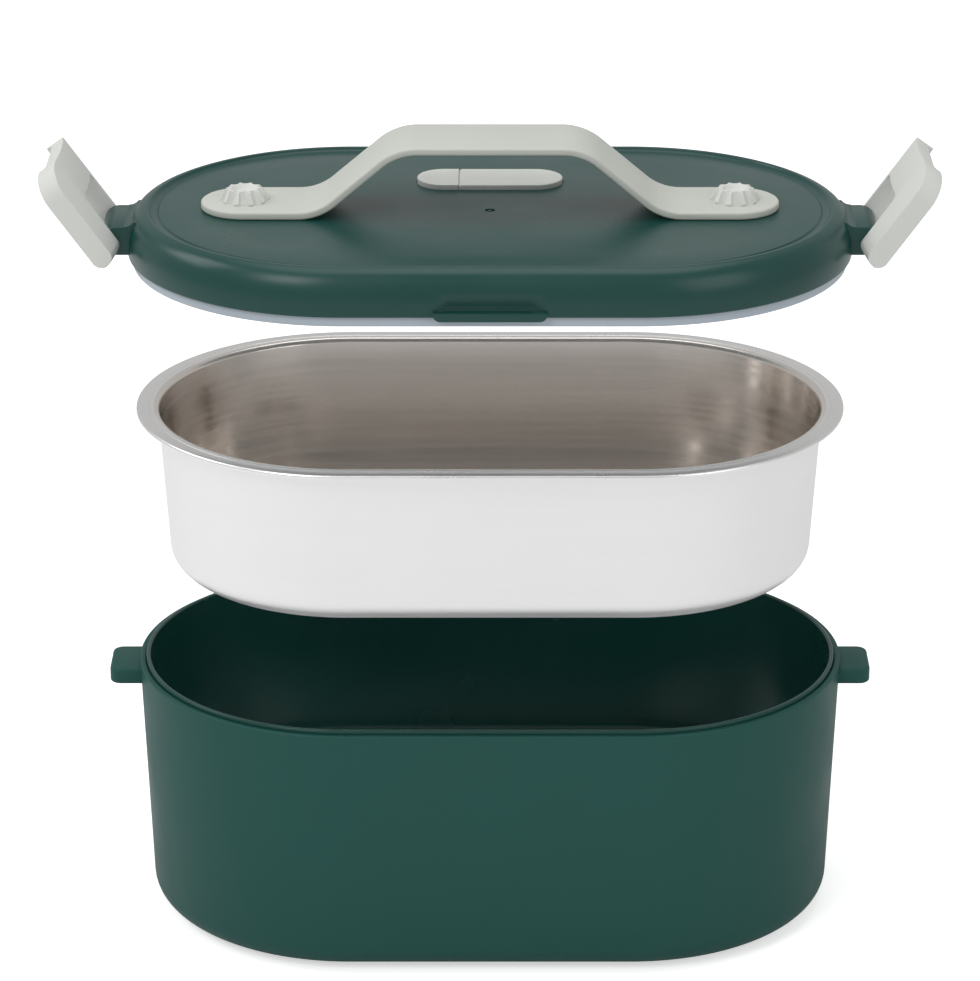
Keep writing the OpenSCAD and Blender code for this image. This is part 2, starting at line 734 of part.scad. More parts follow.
module lid_cover() {
    rise = lid_h - lid_side_h;
    shoulder = [for (a = [0:8:80]) [ridge_r + ridge_in * cos(a), lid_side_h + (rise - 0.25) * sin(a)]];
    outside = concat([[r_lid - 0.3, 0], [r_lid, 0.3]], shoulder,
        [[ridge_r, lid_h], [ridge_r - 0.6, lid_h - 0.05],
         [panel_r + 1.2, z_panel + 0.1], [panel_r, z_panel], [0, z_panel]]);
    inner_rise = rise - lid_wall;
    inside = concat([[0, z_panel - lid_wall], [panel_r - 2, z_panel - lid_wall]],
        [for (a = [80:-10:0]) [ridge_r - lid_wall + ridge_in * cos(a),
                              lid_side_h + (inner_rise - 0.6) * sin(a)]],
        [[skirt_in, 0]]);
    color(GREEN) on_lid() difference() {
        union() {
            obround() polygon(concat(outside, inside));
            for (m = [0, 1]) mirror([m, 0, 0]) ear();
            front_tab();
            translate([0, vent_y, z_pocket - pad_t]) linear_extrude(pad_t + 0.2)
                stadium(vent_r + 2, vent_len / 2 - vent_r);
            for (m = [-1, 1]) translate([m * stud_pitch / 2, 0, z_panel - lid_wall - 1.5])
                cylinder(d = stud_shank_d + 6, h = 2);
        }
        for (m = [0, 1]) mirror([m, 0, 0]) pivot_bore(pin_d + 2 * fit_gap, ear_w + 2);
        translate([0, vent_y, z_pocket]) linear_extrude(pocket_depth + 1)
            stadium(vent_r + free_gap, vent_len / 2 - vent_r);
        translate([vent_hole_x, vent_y, z_pocket - 10])
            cylinder(d = vent_hole_d, h = 12);
        translate([-vent_len / 2 + anchor_len / 2, vent_y, z_pocket - 10])
            cylinder(d = stem_d + 2 * fit_gap, h = 12);
        for (m = [-1, 1]) translate([m * stud_pitch / 2, 0, 0])
            cylinder(d = stud_shank_d + 2 * fit_gap, h = lid_h + 1);
        difference() {
            translate([0, -3, z_panel + 3.2]) sphere(r = 3.6);
            translate([0, -3, z_panel - 1]) cylinder(d = 1, h = 0.9);
        }
        translate([0, -r_lid - 4.2, 4.8]) rotate([0, 90, 0])
            cylinder(r = 5, h = tab_w - 5, center = true);
    }
}

// One ear: a block with a round outer end and a fillet into the shoulder
module ear() {
    root_x = end_x + sqrt(pow(skirt_in, 2) - pow(ear_w / 2, 2)) + 0.2;
    top = ear_z0 + ear_h;
    join_a = asin((top - lid_side_h) / (lid_h - lid_side_h - 0.25));
    join_x = end_x + ridge_r + ridge_in * cos(join_a);
    fillet = 4;
    run = 0.47 * fillet;
    difference() {
        rotate([90, 0, 0]) linear_extrude(ear_w, center = true) {
            polygon(concat([[root_x - 1, top], [root_x, ear_z0]],
                arc([ear_end_x - 1.2, ear_z0 + 1.2], 1.2, -90, 0, 5),
                arc([ear_end_x - 5, top - 5], 5, 0, 90, 10)));
            difference() {
                polygon([[root_x - 1, top - 1], [join_x + run, top - 1], [join_x + run, top],
                         [join_x - 0.62 * run, top + 0.78 * run], [root_x - 1, top + 0.6 * run]]);
                translate([join_x + run, top + fillet]) circle(fillet);
            }
        }
        translate([end_x, 0, -1]) cylinder(r = skirt_in + 0.3, h = 1 + lid_side_h, $fn = 180);
    }
}

// A bore along the pivot of the right-hand clip
module pivot_bore(d, length) {
    translate([pivot_x, 0, pivot_h]) rotate([90, 0, 0]) cylinder(d = d, h = length, center = true);
}

// The finger tab: a thin ledge under the cover's front edge
module front_tab() {
    taper = 4;
    out = 1.5;
    root = seal_in - fit_gap;
    translate([0, -r_lid, -0.8]) linear_extrude(1.8) polygon([
        [-tab_w / 2, root], [-tab_w / 2, 0], [-tab_w / 2 + taper, -out],
        [tab_w / 2 - taper, -out], [tab_w / 2, 0], [tab_w / 2, root]]);
}

module inner_lid() {
    t = inner_t / 2;
    path = concat(
        [[inner_flange_r, seal_top + t + fit_gap]],
        [[dish_r - t, seal_top + t + fit_gap]],
        arc([dish_r - t - 3, -dish_depth + t + 3], 3, 0, -90, 6),
        [[0, -dish_depth + t]]);
    color([0.78, 0.79, 0.8]) on_lid() difference() {
        obround() sheet(path, inner_t);
        translate([vent_hole_x, vent_y, -dish_depth - 1]) cylinder(d = 4, h = 4);
    }
}

module lid_seal() {
    groove = 1;
    color(SEAL_GREY) on_lid() obround() polygon([
        [seal_in_r, -seal_h + 0.5], [seal_in_r + 0.5, -seal_h],
        [(seal_in_r + seal_r) / 2 - 0.7, -seal_h], [(seal_in_r + seal_r) / 2, -seal_h + groove],
        [(seal_in_r + seal_r) / 2 + 0.7, -seal_h], [seal_r - 0.5, -seal_h],
        [seal_r, -seal_h + 0.5], [seal_r, -fit_gap], [skirt_in - 2 * fit_gap, -fit_gap],
        [skirt_in - 2 * fit_gap, seal_top], [seal_in_r, seal_top]]);
}

// The vent's plan, cut to the part between two x values
module vent_plan(x0, x1) {
    intersection() {
        stadium(vent_r, vent_len / 2 - vent_r);
        translate([x0, -vent_w]) square([x1 - x0, 2 * vent_w]);
    }
}

module vent_anchor() {
    color(GREY) on_lid() translate([0, vent_y, 0]) {
        translate([0, 0, z_pocket + fit_gap]) linear_extrude(vent_t)
            vent_plan(-vent_len / 2, -vent_len / 2 + anchor_len);
        translate([-vent_len / 2 + anchor_len / 2, 0, z_pocket - pad_t - 0.5])
            cylinder(d = stem_d, h = pad_t + 1);
        translate([-vent_len / 2 + anchor_len / 2, 0, z_pocket - pad_t - 1.7])
            cylinder(d1 = stem_d, d2 = stem_d + 2, h = 1.5);
    }
}

module vent_plug() {
    color(GREY) on_lid() translate([0, vent_y, 0]) {
        translate([0, 0, z_pocket + fit_gap]) linear_extrude(vent_t)
            vent_plan(knuckle_x, vent_len / 2);
        translate([knuckle_x, 0, z_pocket + fit_gap + vent_t / 2]) rotate([90, 0, 0])
            cylinder(d = vent_t, h = 2 * sqrt(pow(vent_r, 2)
                - pow(max(0, -knuckle_x - vent_len / 2 + vent_r), 2)), center = true);
        translate([vent_hole_x, 0, z_pocket + fit_gap - nub_depth])
            cylinder(d1 = vent_hole_d - 2.4 * free_gap, d2 = vent_hole_d - 2 * free_gap,
                     h = nub_depth + 0.2);
    }
}

module handle_strap() {
    half = strap_len / 2;
    foot_end = strap_top / 2 + strap_slope;
    slope = concat(
        arc([-foot_end, bow_r], bow_r, -90, -90 + bow_angle, 10),
        arc([-strap_top / 2, strap_rise - bow_r], bow_r, 90 + bow_angle, 90, 10));
    path = concat([[-half - 1, 0]], slope,
        reversed([for (p = slope) [-p[0], p[1]]]), [[half + 1, 0]]);
    color(GREY) on_lid() translate([0, 0, z_strap]) difference() {
        intersection() {
            translate([0, 0, strap_t / 2]) rotate([90, 0, 0])
                linear_extrude(strap_w, center = true) sheet(path, strap_t);
            translate([0, 0, -1]) linear_extrude(strap_rise + strap_t + 2)
                stadium(strap_r, half - strap_r);
        }
        for (m = [-1, 1]) translate([m * stud_pitch / 2, 0, -1])
            cylinder(d = stud_shank_d + 2 * fit_gap, h = strap_t + 2);
    }
}

// A fluted stud with a dished top, its shank reaching through strap and cover
module stud() {
    z0 = z_strap + strap_t;
    shank = strap_t + lid_wall + 1.2;
    difference() {
        union() {
            translate([0, 0, z0]) cylinder(d1 = stud_d, d2 = stud_top_d, h = stud_h);
            translate([0, 0, z0 - shank]) cylinder(d = stud_shank_d, h = shank + eps);
        }
        translate([0, 0, z0 + stud_h - 1]) cylinder(d1 = stud_top_d - 4, d2 = stud_top_d - 1.6, h = 1 + eps);
        for (i = [0:flute_n - 1]) rotate([0, 0, (i + 0.5) * 360 / flute_n])
            translate([stud_d / 2 + 0.5, 0, z0 - 0.5])
                rotate([0, -atan((stud_d - stud_top_d) / 2 / stud_h), 0])
                    cylinder(d = flute_d, h = stud_h * 1.02);
        translate([0, 0, z0 - shank - 1]) cylinder(d = screw_hole_d, h = shank);
    }
}

module stud_left() {
    color(GREY) on_lid() translate([-stud_pitch / 2, 0, 0]) stud();
}

module stud_right() {
    color(GREY) on_lid() translate([stud_pitch / 2, 0, 0]) stud();
}

module stud_screws() {
    z0 = z_strap - lid_wall - 1.5;
    color(STEEL) on_lid() for (m = [-1, 1]) translate([m * stud_pitch / 2, 0, z0]) {
        translate([0, 0, -1]) cylinder(d = stud_shank_d + 4, h = 1);
        translate([0, 0, -eps]) cylinder(d = screw_d, h = 5);
    }
}

// ---- Clips ----

// Turns a clip that is drawn closed on the right-hand end to its open place
module opened() {
    on_lid() translate([pivot_x, 0, pivot_h]) rotate([0, -open_turn, 0])
        translate([-pivot_x, 0, -pivot_h]) children();
}

// A closed right-hand clip, drawn on the lid's lower edge
module clip() {
    tip = pivot_h - clip_len;
    difference() {
        intersection() {
            translate([end_x, 0, tip - 1]) difference() {
                cylinder(r = clip_out_r, h = clip_len + 20, $fn = 180);
                translate([0, 0, -1]) cylinder(r = clip_in_r, h = clip_len + 22, $fn = 180);
            }
            rotate([90, 0, 90]) linear_extrude(pivot_x + 40) {
                translate([0, (tip + pivot_h + 10) / 2])
                    round_rect(clip_w, pivot_h + 10 - tip, clip_corner_r);
                translate([-clip_w / 2, pivot_h - 10]) square([clip_w, 20]);
            }
            rotate([90, 0, 0]) linear_extrude(clip_w + 2, center = true) {
                translate([pivot_x, pivot_h]) circle(arm_end_r);
                translate([pivot_x - arm_end_r, tip - 1]) square([2 * arm_end_r, clip_len + 1]);
                translate([pivot_x - arm_end_r, tip - 1]) square([30, clip_len - 8]);
            }
        }
        rotate([90, 0, 90]) linear_extrude(pivot_x + 40) {
            translate([0, pivot_h - notch_depth + 20])
                round_rect(ear_w + 2 * free_gap, 40, notch_corner_r);
        }
        pivot_bore(pin_d + 2 * fit_gap, ear_w + 2 * free_gap + 2 * pin_reach);
        translate([end_x, 0, tip - 1]) rotate_extrude(angle = 360)
            translate([clip_in_r - 0.4, 0.6]) circle(lip_cut, $fn = 32);
    }
}

module clip_right() {
    color(GREY) opened() clip();
}

module clip_left() {
    color(GREY) mirror([1, 0, 0]) opened() clip();
}

module clip_pin() {
    pivot_bore(pin_d, ear_w + 2 * free_gap + 2 * pin_reach - 2 * free_gap);
}

module clip_pin_right() {
    color(STEEL) on_lid() clip_pin();
}

module clip_pin_left() {
    color(STEEL) on_lid() mirror([1, 0, 0]) clip_pin();
}

outer_shell();
inner_liner();
heating_plate();
plate_gasket();
plate_screws();
heater_block();
heater_clamp();
clamp_screws();
heater_tabs();
thermostat();
thermostat_flange();
thermostat_screws();
thermal_fuse();
fuse_clip();
fuse_screw();
inlet_socket();
inlet_pins();
indicator_lens();
neon_lamp();
wire_live();
wire_fuse();
wire_neutral();
wire_thermostat();
lamp_lead_near();
lamp_lead_far();
bottom_cover();
cover_screws();
rubber_feet();
food_tray();
lid_cover();
inner_lid();
lid_seal();
vent_anchor();
vent_plug();
handle_strap();
stud_left();
stud_right();
stud_screws();
clip_pin_left();
clip_pin_right();
clip_left();
clip_right();
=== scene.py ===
"""Looks of an electric lunch box: a dark green heated base, a steel tray and a latched lid.

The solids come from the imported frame. The pieces that show are modelled again here in
millimetres, on the same plan, and are scaled to the frame's metres when they are finished.
"""

from __future__ import annotations

import json
import logging
import math
from contextlib import contextmanager
from dataclasses import dataclass
from typing import Callable, Iterable, Iterator, Sequence

import bmesh
import bpy
from mathutils import Matrix, Vector

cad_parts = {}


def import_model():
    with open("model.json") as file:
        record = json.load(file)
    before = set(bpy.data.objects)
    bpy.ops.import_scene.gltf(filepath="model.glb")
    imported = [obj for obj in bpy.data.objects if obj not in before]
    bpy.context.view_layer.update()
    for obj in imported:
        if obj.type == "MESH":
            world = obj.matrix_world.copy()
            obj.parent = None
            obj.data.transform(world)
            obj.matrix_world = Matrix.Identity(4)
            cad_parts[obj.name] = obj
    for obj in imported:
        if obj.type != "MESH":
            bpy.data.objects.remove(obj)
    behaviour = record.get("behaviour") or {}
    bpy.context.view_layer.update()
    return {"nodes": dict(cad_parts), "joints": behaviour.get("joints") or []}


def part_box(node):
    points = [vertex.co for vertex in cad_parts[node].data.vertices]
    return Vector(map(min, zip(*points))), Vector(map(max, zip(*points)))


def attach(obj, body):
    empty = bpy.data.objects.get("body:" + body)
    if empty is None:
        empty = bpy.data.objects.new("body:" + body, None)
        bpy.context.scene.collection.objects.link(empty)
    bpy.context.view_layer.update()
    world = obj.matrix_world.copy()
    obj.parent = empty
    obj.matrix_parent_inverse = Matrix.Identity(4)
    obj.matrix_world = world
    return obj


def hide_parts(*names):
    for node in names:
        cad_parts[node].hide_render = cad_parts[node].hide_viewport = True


Piece = bpy.types.Object
Face = bmesh.types.BMFace
Vert = bmesh.types.BMVert
Tree = bpy.types.NodeTree
Node = bpy.types.Node
Triple = tuple[float, float, float]
Corner = tuple[float, ...]

LOG = logging.getLogger("lunch_box")
SIDES = (-1, 1)
SMOOTH_ANGLE = math.radians(32)
# Faces round a form.
STEPS, FEW_STEPS, MANY_STEPS = 192, 96, 512
# A millimetre in metres, and lengths in millimetres: the gap between pieces, how deep joined
# forms reach into each other, the slack in finding corners, and what is merged.
MM = 0.001
GAP, OVERLAP = 0.1, 0.5
LEVEL_SLACK, RADIUS_SLACK = 0.01, 0.02
RING_MERGE, WELD_REACH, SPECK = 0.001, 0.004, 0.0001


# ---------------------------------------------------------------- selecting


def only(piece: Piece) -> None:
    """Selects one object alone and makes it the active one."""
    bpy.ops.object.select_all(action="DESELECT")
    piece.select_set(True)
    bpy.context.view_layer.objects.active = piece


@contextmanager
def editing(piece: Piece, mode: str = "VERT") -> Iterator[None]:
    """Opens a piece's mesh to select its VERT, EDGE or FACE parts, and closes it again."""
    only(piece)
    bpy.ops.object.mode_set(mode="EDIT")
    bpy.ops.mesh.select_mode(type=mode)
    yield
    bpy.ops.object.mode_set(mode="OBJECT")


def opened(piece: Piece) -> bmesh.types.BMesh:
    """Returns the mesh of a piece in edit mode, with nothing selected and in number order."""
    form = bmesh.from_edit_mesh(piece.data)
    form.verts.index_update()
    for part in (form.faces, form.edges, form.verts):
        for item in part:
            item.select_set(False)
    return form


def select_verts(piece: Piece, test: Callable[[Vert], bool]) -> None:
    """Selects the vertices that pass a test, with the edges and faces between them."""
    form = opened(piece)
    for vert in form.verts:
        if test(vert):
            vert.select_set(True)
    form.select_flush(True)
    bmesh.update_edit_mesh(piece.data)


def select_edges(piece: Piece, test: Callable[[Vector, Vector], bool]) -> None:
    """Selects the edges whose two ends pass a test."""
    form = opened(piece)
    for edge in form.edges:
        if test(edge.verts[0].co, edge.verts[1].co):
            edge.select_set(True)
    bmesh.update_edit_mesh(piece.data)


def select_faces(piece: Piece, test: Callable[[Face], bool]) -> None:
    """Selects the faces that pass a test, and nothing else."""
    bpy.ops.mesh.select_mode(type="FACE")
    form = bmesh.from_edit_mesh(piece.data)
    form.normal_update()
    for face in form.faces:
        face.select_set(bool(test(face)))
    bmesh.update_edit_mesh(piece.data)


def face_outwards() -> None:
    """Turns all faces of the mesh in edit mode outwards."""
    bpy.ops.mesh.select_all(action="SELECT")
    bpy.ops.mesh.normals_make_consistent(inside=False)


# ---------------------------------------------------------------- modelling


def add(kind: str, **values: object) -> Piece:
    """Adds a primitive mesh by its kind and its operator's values, and applies its placing."""
    bpy.ops.object.select_all(action="DESELECT")
    getattr(bpy.ops.mesh, f"primitive_{kind}_add")(**values)
    bpy.ops.object.transform_apply(location=True, rotation=True, scale=True)
    return bpy.context.active_object


def block(low: Sequence[float], high: Sequence[float]) -> Piece:
    """Adds a box between its lowest and its highest corner."""
    return add("cube", size=1, location=[(a + b) / 2 for a, b in zip(low, high)],
               scale=[b - a for a, b in zip(low, high)])


def rod(radius: float, length: float, centre: Sequence[float], axis: str = "Z",
        steps: int = 64) -> Piece:
    """Adds a round bar along Y or Z by its middle, with this many faces round it."""
    turn = math.pi / 2 if axis == "Y" else 0
    return add("cylinder", vertices=steps, radius=radius, depth=length, location=centre,
               rotation=(turn, 0, 0))


def pin(radius: float, place: Sequence[float], low: float, high: float, steps: int = 64) -> Piece:
    """Adds an upright bar between two heights, at a place in the plan."""
    return rod(radius, high - low, (*place, (low + high) / 2), "Z", steps)


def rename(piece: Piece, name: str) -> None:
    """Names a piece and its mesh."""
    piece.name = name
    piece.data.name = name


def move(piece: Piece, x: float = 0, y: float = 0, z: float = 0) -> None:
    """Moves a piece's mesh."""
    piece.data.transform(Matrix.Translation((x, y, z)))


def mirror(piece: Piece) -> None:
    """Turns a right-hand piece into its left-hand twin."""
    piece.data.transform(Matrix.Scale(-1, 4, (1, 0, 0)))
    piece.data.flip_normals()


def modify(piece: Piece, kind: str, **settings: object) -> None:
    """Changes a piece by a kind of modifier with its settings by name."""
    only(piece)
    change = piece.modifiers.new(kind.lower(), kind)
    for name, value in settings.items():
        setattr(change, name, value)
    bpy.ops.object.modifier_apply(modifier=change.name)


def combine(piece: Piece, operation: str, tools: Sequence[Piece]) -> None:
    """Combines a piece with other solids, one by one, and removes them."""
    for tool in tools:
        modify(piece, "BOOLEAN", operation=operation, object=tool, solver="EXACT")
        bpy.data.objects.remove(tool)


def take(piece: Piece, *tools: Piece) -> None:
    """Cuts other solids out of a piece."""
    combine(piece, "DIFFERENCE", tools)


def join(piece: Piece, *tools: Piece) -> None:
    """Adds other solids to a piece."""
    combine(piece, "UNION", tools)


def keep(piece: Piece, tool: Piece) -> None:
    """Keeps what a piece has in common with another solid."""
    combine(piece, "INTERSECT", [tool])


def soften(piece: Piece, width: float, segments: int = 3, angle: float = 40) -> None:
    """Rounds a solid's edges that are sharper than an angle in degrees, by a width."""
    modify(piece, "WELD", merge_threshold=WELD_REACH)
    modify(piece, "BEVEL", width=width, segments=segments, limit_method="ANGLE",
           angle_limit=math.radians(angle))


def thicken(piece: Piece, thickness: float) -> None:
    """Gives a surface its thickness, half to each side."""
    modify(piece, "SOLIDIFY", thickness=thickness, offset=0, use_even_offset=True)


def bevel(offset: float, segments: int, clamp: bool = False) -> None:
    """Rounds the selected edges of the mesh in edit mode."""
    bpy.ops.mesh.bevel(offset=offset, offset_type="OFFSET", segments=segments, profile=0.5,
                       affect="EDGES", clamp_overlap=clamp)


def round_along(piece: Piece, axis: int, radius: float, test: Callable[[Vector], bool],
                segments: int = 8) -> None:
    """Rounds a box's edges that run along one axis.

    Args:
        piece: The box.
        axis: 0, 1 or 2, the axis that the edges run along.
        radius: The round's radius.
        test: Says for an edge's middle whether it is rounded.
        segments: Faces across the round.
    """
    def rounded(one: Vector, two: Vector) -> bool:
        """Whether the edge between two places is rounded."""
        run = two - one
        return abs(run[axis]) > 0.99 * run.length and test((one + two) / 2)

    with editing(piece, "EDGE"):
        select_edges(piece, rounded)
        bevel(radius, segments, clamp=True)


@dataclass(frozen=True)
class Ring:
    """One corner of an obround's profile: its radius, its height and its round."""

    radius: float
    height: float
    round: float = 0.0


def corner_reach(before: Ring, corner: Ring, after: Ring) -> float:
    """Length along each side that a corner's round takes."""
    one = Vector((corner.radius - before.radius, corner.height - before.height))
    two = Vector((after.radius - corner.radius, after.height - corner.height))
    return corner.round * math.tan(one.angle(two) / 2)


def arc(centre: Sequence[float], reach: Sequence[float], degrees: Iterable[float]) -> list[Corner]:
    """Corners of a profile on an ellipse with this middle and reach, at angles from outwards."""
    return [(centre[0] + reach[0] * math.cos(a), centre[1] + reach[1] * math.sin(a))
            for a in map(math.radians, degrees)]


def radius_at(place: Vector, half: float) -> float:
    """Distance of a place from the middle line of an obround, seen from above."""
    return math.hypot(max(abs(place.x) - half, 0), place.y)


def obround(half: float, corners: Sequence[Corner], closed: bool = True, capped: bool = True,
            steps: int = STEPS) -> Piece:
    """Makes an obround form by extruding a stretched circle from corner to corner.

    Args:
        half: Distance of the two end axes from the middle.
        corners: The values of the rings of its section, in order.
        closed: Whether the section runs round to its first corner again.
        capped: Whether an open section's first and last ring are filled.
        steps: Vertices round the form.
    """
    profile = [Ring(*corner) for corner in corners]
    first = profile[0]
    piece = add("circle", vertices=steps, radius=first.radius, rotation=(0, 0, math.pi / steps))
    with editing(piece):
        for side in SIDES:
            select_verts(piece, lambda vert, s=side: vert.co.x * s > 0)
            bpy.ops.transform.translate(value=(side * half, 0, 0))
        bpy.ops.mesh.select_all(action="SELECT")
        bpy.ops.transform.translate(value=(0, 0, first.height))
        if capped and not closed:
            bpy.ops.mesh.edge_face_add()
        previous = first
        for ring in [*profile[1:], *([first] if closed else [])]:
            extrude_ring(piece, half, previous, ring)
            previous = ring
        if closed:
            bpy.ops.mesh.select_all(action="SELECT")
            bpy.ops.mesh.remove_doubles(threshold=RING_MERGE)
        elif capped:
            bpy.ops.mesh.edge_face_add()
        round_corners(piece, half, profile, closed)
        face_outwards()
    return piece


def extrude_ring(piece: Piece, half: float, previous: Ring, ring: Ring) -> None:
    """Extrudes the selected ring of a form in edit mode to the next corner of its profile."""
    bpy.ops.mesh.extrude_edges_move(
        TRANSFORM_OT_translate={"value": (0, 0, ring.height - previous.height)})
    form = bmesh.from_edit_mesh(piece.data)
    form.verts.index_update()
    picked = {vert.index for vert in form.verts if vert.select}
    scale = ring.radius / previous.radius
    for side in SIDES:
        select_verts(piece, lambda vert, s=side: vert.index in picked and vert.co.x * s > 0)
        bpy.ops.transform.resize(value=(scale, scale, 1), center_override=(side * half, 0, 0))
    select_verts(piece, lambda vert: vert.index in picked)


def round_corners(piece: Piece, half: float, profile: Sequence[Ring], closed: bool) -> None:
    """Rounds each corner of a form in edit mode that has a round in its profile."""
    count = len(profile)
    for i, ring in enumerate(profile):
        if not ring.round or (not closed and i in (0, count - 1)):
            continue
        reach = corner_reach(profile[i - 1], ring, profile[(i + 1) % count])
        select_verts(piece, lambda vert, at=ring: abs(vert.co.z - at.height) < LEVEL_SLACK
                     and abs(radius_at(vert.co, half) - at.radius) < RADIUS_SLACK)
        bevel(reach, max(3, min(12, round(ring.round * 1.5))))


def finish_piece(piece: Piece, name: str, finish: Finish | None, body: str, slot: str,
                 *nodes: str) -> Piece:
    """Names, cleans and shades a piece, scales it to metres and fixes it to its body.

    Args:
        piece: The piece, in millimetres, which is returned.
        name: Its name.
        finish: Its finish, or None where it has its finishes already.
        body: The body that it moves with.
        slot: The record's material slot that it stands for; not used.
        *nodes: The solids that it stands for.
    """
    rename(piece, name)
    if finish:
        finish.on(piece)
    with editing(piece):
        bpy.ops.mesh.select_all(action="SELECT")
        bpy.ops.mesh.remove_doubles(threshold=SPECK)
        bpy.ops.mesh.dissolve_degenerate(threshold=SPECK)
    piece.data.transform(Matrix.Scale(MM, 4))
    only(piece)
    bpy.ops.object.shade_smooth_by_angle(angle=SMOOTH_ANGLE)
    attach(piece, body)
    if nodes:
        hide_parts(*nodes)
    LOG.info("%s: %d faces, on %s", piece.name, len(piece.data.polygons), body)
    return piece


def box_mm(node: str) -> tuple[Vector, Vector]:
    """Lowest and highest corner of a solid of the frame, in millimetres."""
    low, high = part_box(node)
    return low / MM, high / MM


# ---------------------------------------------------------------- finishes


def add_node(tree: Tree, kind: str, values: dict[str, object] | None = None,
             **settings: object) -> Node:
    """Adds a kind of shader node, with values of its inputs and its own settings by name."""
    node = tree.nodes.new(f"ShaderNode{kind}")
    for name, value in settings.items():
        setattr(node, name, value)
    set_inputs(node, values or {})
    return node


def set_inputs(node: Node, values: dict[str, object]) -> None:
    """Sets the default values of a node's inputs by name."""
    for name, value in values.items():
        node.inputs[name].default_value = value


def wire(tree: Tree, *links: tuple[Node, str | int, Node, str | int]) -> None:
    """Links nodes: a node and its output, and the node and the input that it feeds."""
    for start, output, end, entry in links:
        tree.links.new(start.outputs[output], end.inputs[entry])


def surface_group(drawn: bool) -> Tree:
    """Builds the shader group of a surface: mottled colour, uneven gloss and a fine height.

    Args:
        drawn: Whether fine lines that run one way give the gloss and the height, as on drawn
            metal. On a moulded surface these follow the colour's patches and a grain.
    """
    name = "drawn_metal" if drawn else "moulded_surface"
    if name in bpy.data.node_groups:
        return bpy.data.node_groups[name]
    group = bpy.data.node_groups.new(name, "ShaderNodeTree")
    own = {"Stretch": "Vector"} if drawn else {"Patch scale": "Float", "Grain scale": "Float"}
    sockets = {
        "INPUT": {"Colour": "Color", "Second colour": "Color", **own,
                  "Least roughness": "Float", "Most roughness": "Float"},
        "OUTPUT": {"Colour": "Color", "Roughness": "Float", "Height": "Float"}}
    for way, kinds in sockets.items():
        for label, kind in kinds.items():
            group.interface.new_socket(label, in_out=way, socket_type=f"NodeSocket{kind}")
    given, result = (group.nodes.new(f"NodeGroup{way}") for way in ("Input", "Output"))
    place = add_node(group, "TexCoord")
    if drawn:
        stretch = add_node(group, "VectorMath", operation="MULTIPLY")
        patch = add_node(group, "TexNoise", {"Scale": 26, "Detail": 2})
        fine = add_node(group, "TexNoise", {"Scale": 1, "Detail": 4})
        wire(group, (place, "Object", stretch, 0), (given, "Stretch", stretch, 1),
             (place, "Object", patch, "Vector"), (stretch, "Vector", fine, "Vector"))
    else:
        patch = add_node(group, "TexNoise", {"Detail": 3})
        fine = add_node(group, "TexNoise", {"Detail": 2})
        wire(group, (place, "Object", patch, "Vector"), (given, "Patch scale", patch, "Scale"),
             (place, "Object", fine, "Vector"), (given, "Grain scale", fine, "Scale"))
    mix = add_node(group, "Mix", data_type="RGBA")
    gloss = add_node(group, "MapRange", {"From Min": 0.3, "From Max": 0.7},
                     interpolation_type="SMOOTHSTEP")
    wire(group, (patch, "Fac", mix, "Factor"), (given, "Colour", mix, "A"),
         (given, "Second colour", mix, "B"), (mix, "Result", result, "Colour"),
         (fine if drawn else patch, "Fac", gloss, "Value"),
         (given, "Least roughness", gloss, "To Min"), (given, "Most roughness", gloss, "To Max"),
         (gloss, "Result", result, "Roughness"), (fine, "Fac", result, "Height"))
    return group


@dataclass(frozen=True)
class Finish:
    """A surface finish, which makes one material from its values."""

    name: str
    colour: Triple
    second: Triple
    roughness: tuple[float, float] = (0.4, 0.5)
    metallic: float = 0.0
    specular: float = 0.5
    patch_scale: float = 30.0
    grain_scale: float = 2500.0
    bump: float = 0.04
    bump_depth: float = 0.0001
    stretch: Triple = (0, 0, 0)
    transmission: float = 0.0

    def material(self) -> bpy.types.Material:
        """Makes the material, or returns it where it was made before."""
        if self.name in bpy.data.materials:
            return bpy.data.materials[self.name]
        material = bpy.data.materials.new(self.name)
        material.use_nodes = True
        tree = material.node_tree
        shader = tree.nodes["Principled BSDF"]
        set_inputs(shader, {"Metallic": self.metallic, "Specular IOR Level": self.specular,
                            "Transmission Weight": self.transmission})
        drawn = any(self.stretch)
        surface = add_node(tree, "Group", node_tree=surface_group(drawn))
        own = {"Stretch": self.stretch} if drawn else {"Patch scale": self.patch_scale,
                                                       "Grain scale": self.grain_scale}
        set_inputs(surface, {"Colour": (*self.colour, 1), "Second colour": (*self.second, 1),
                             "Least roughness": self.roughness[0],
                             "Most roughness": self.roughness[1], **own})
        bump = add_node(tree, "Bump", {"Strength": self.bump, "Distance": self.bump_depth})
        wire(tree, (surface, "Colour", shader, "Base Color"),
             (surface, "Roughness", shader, "Roughness"), (surface, "Height", bump, "Height"),
             (bump, "Normal", shader, "Normal"))
        return material

    def on(self, piece: Piece) -> None:
        """Puts the finish on a whole piece, in place of what it had."""
        piece.data.materials.clear()
        piece.data.materials.append(self.material())


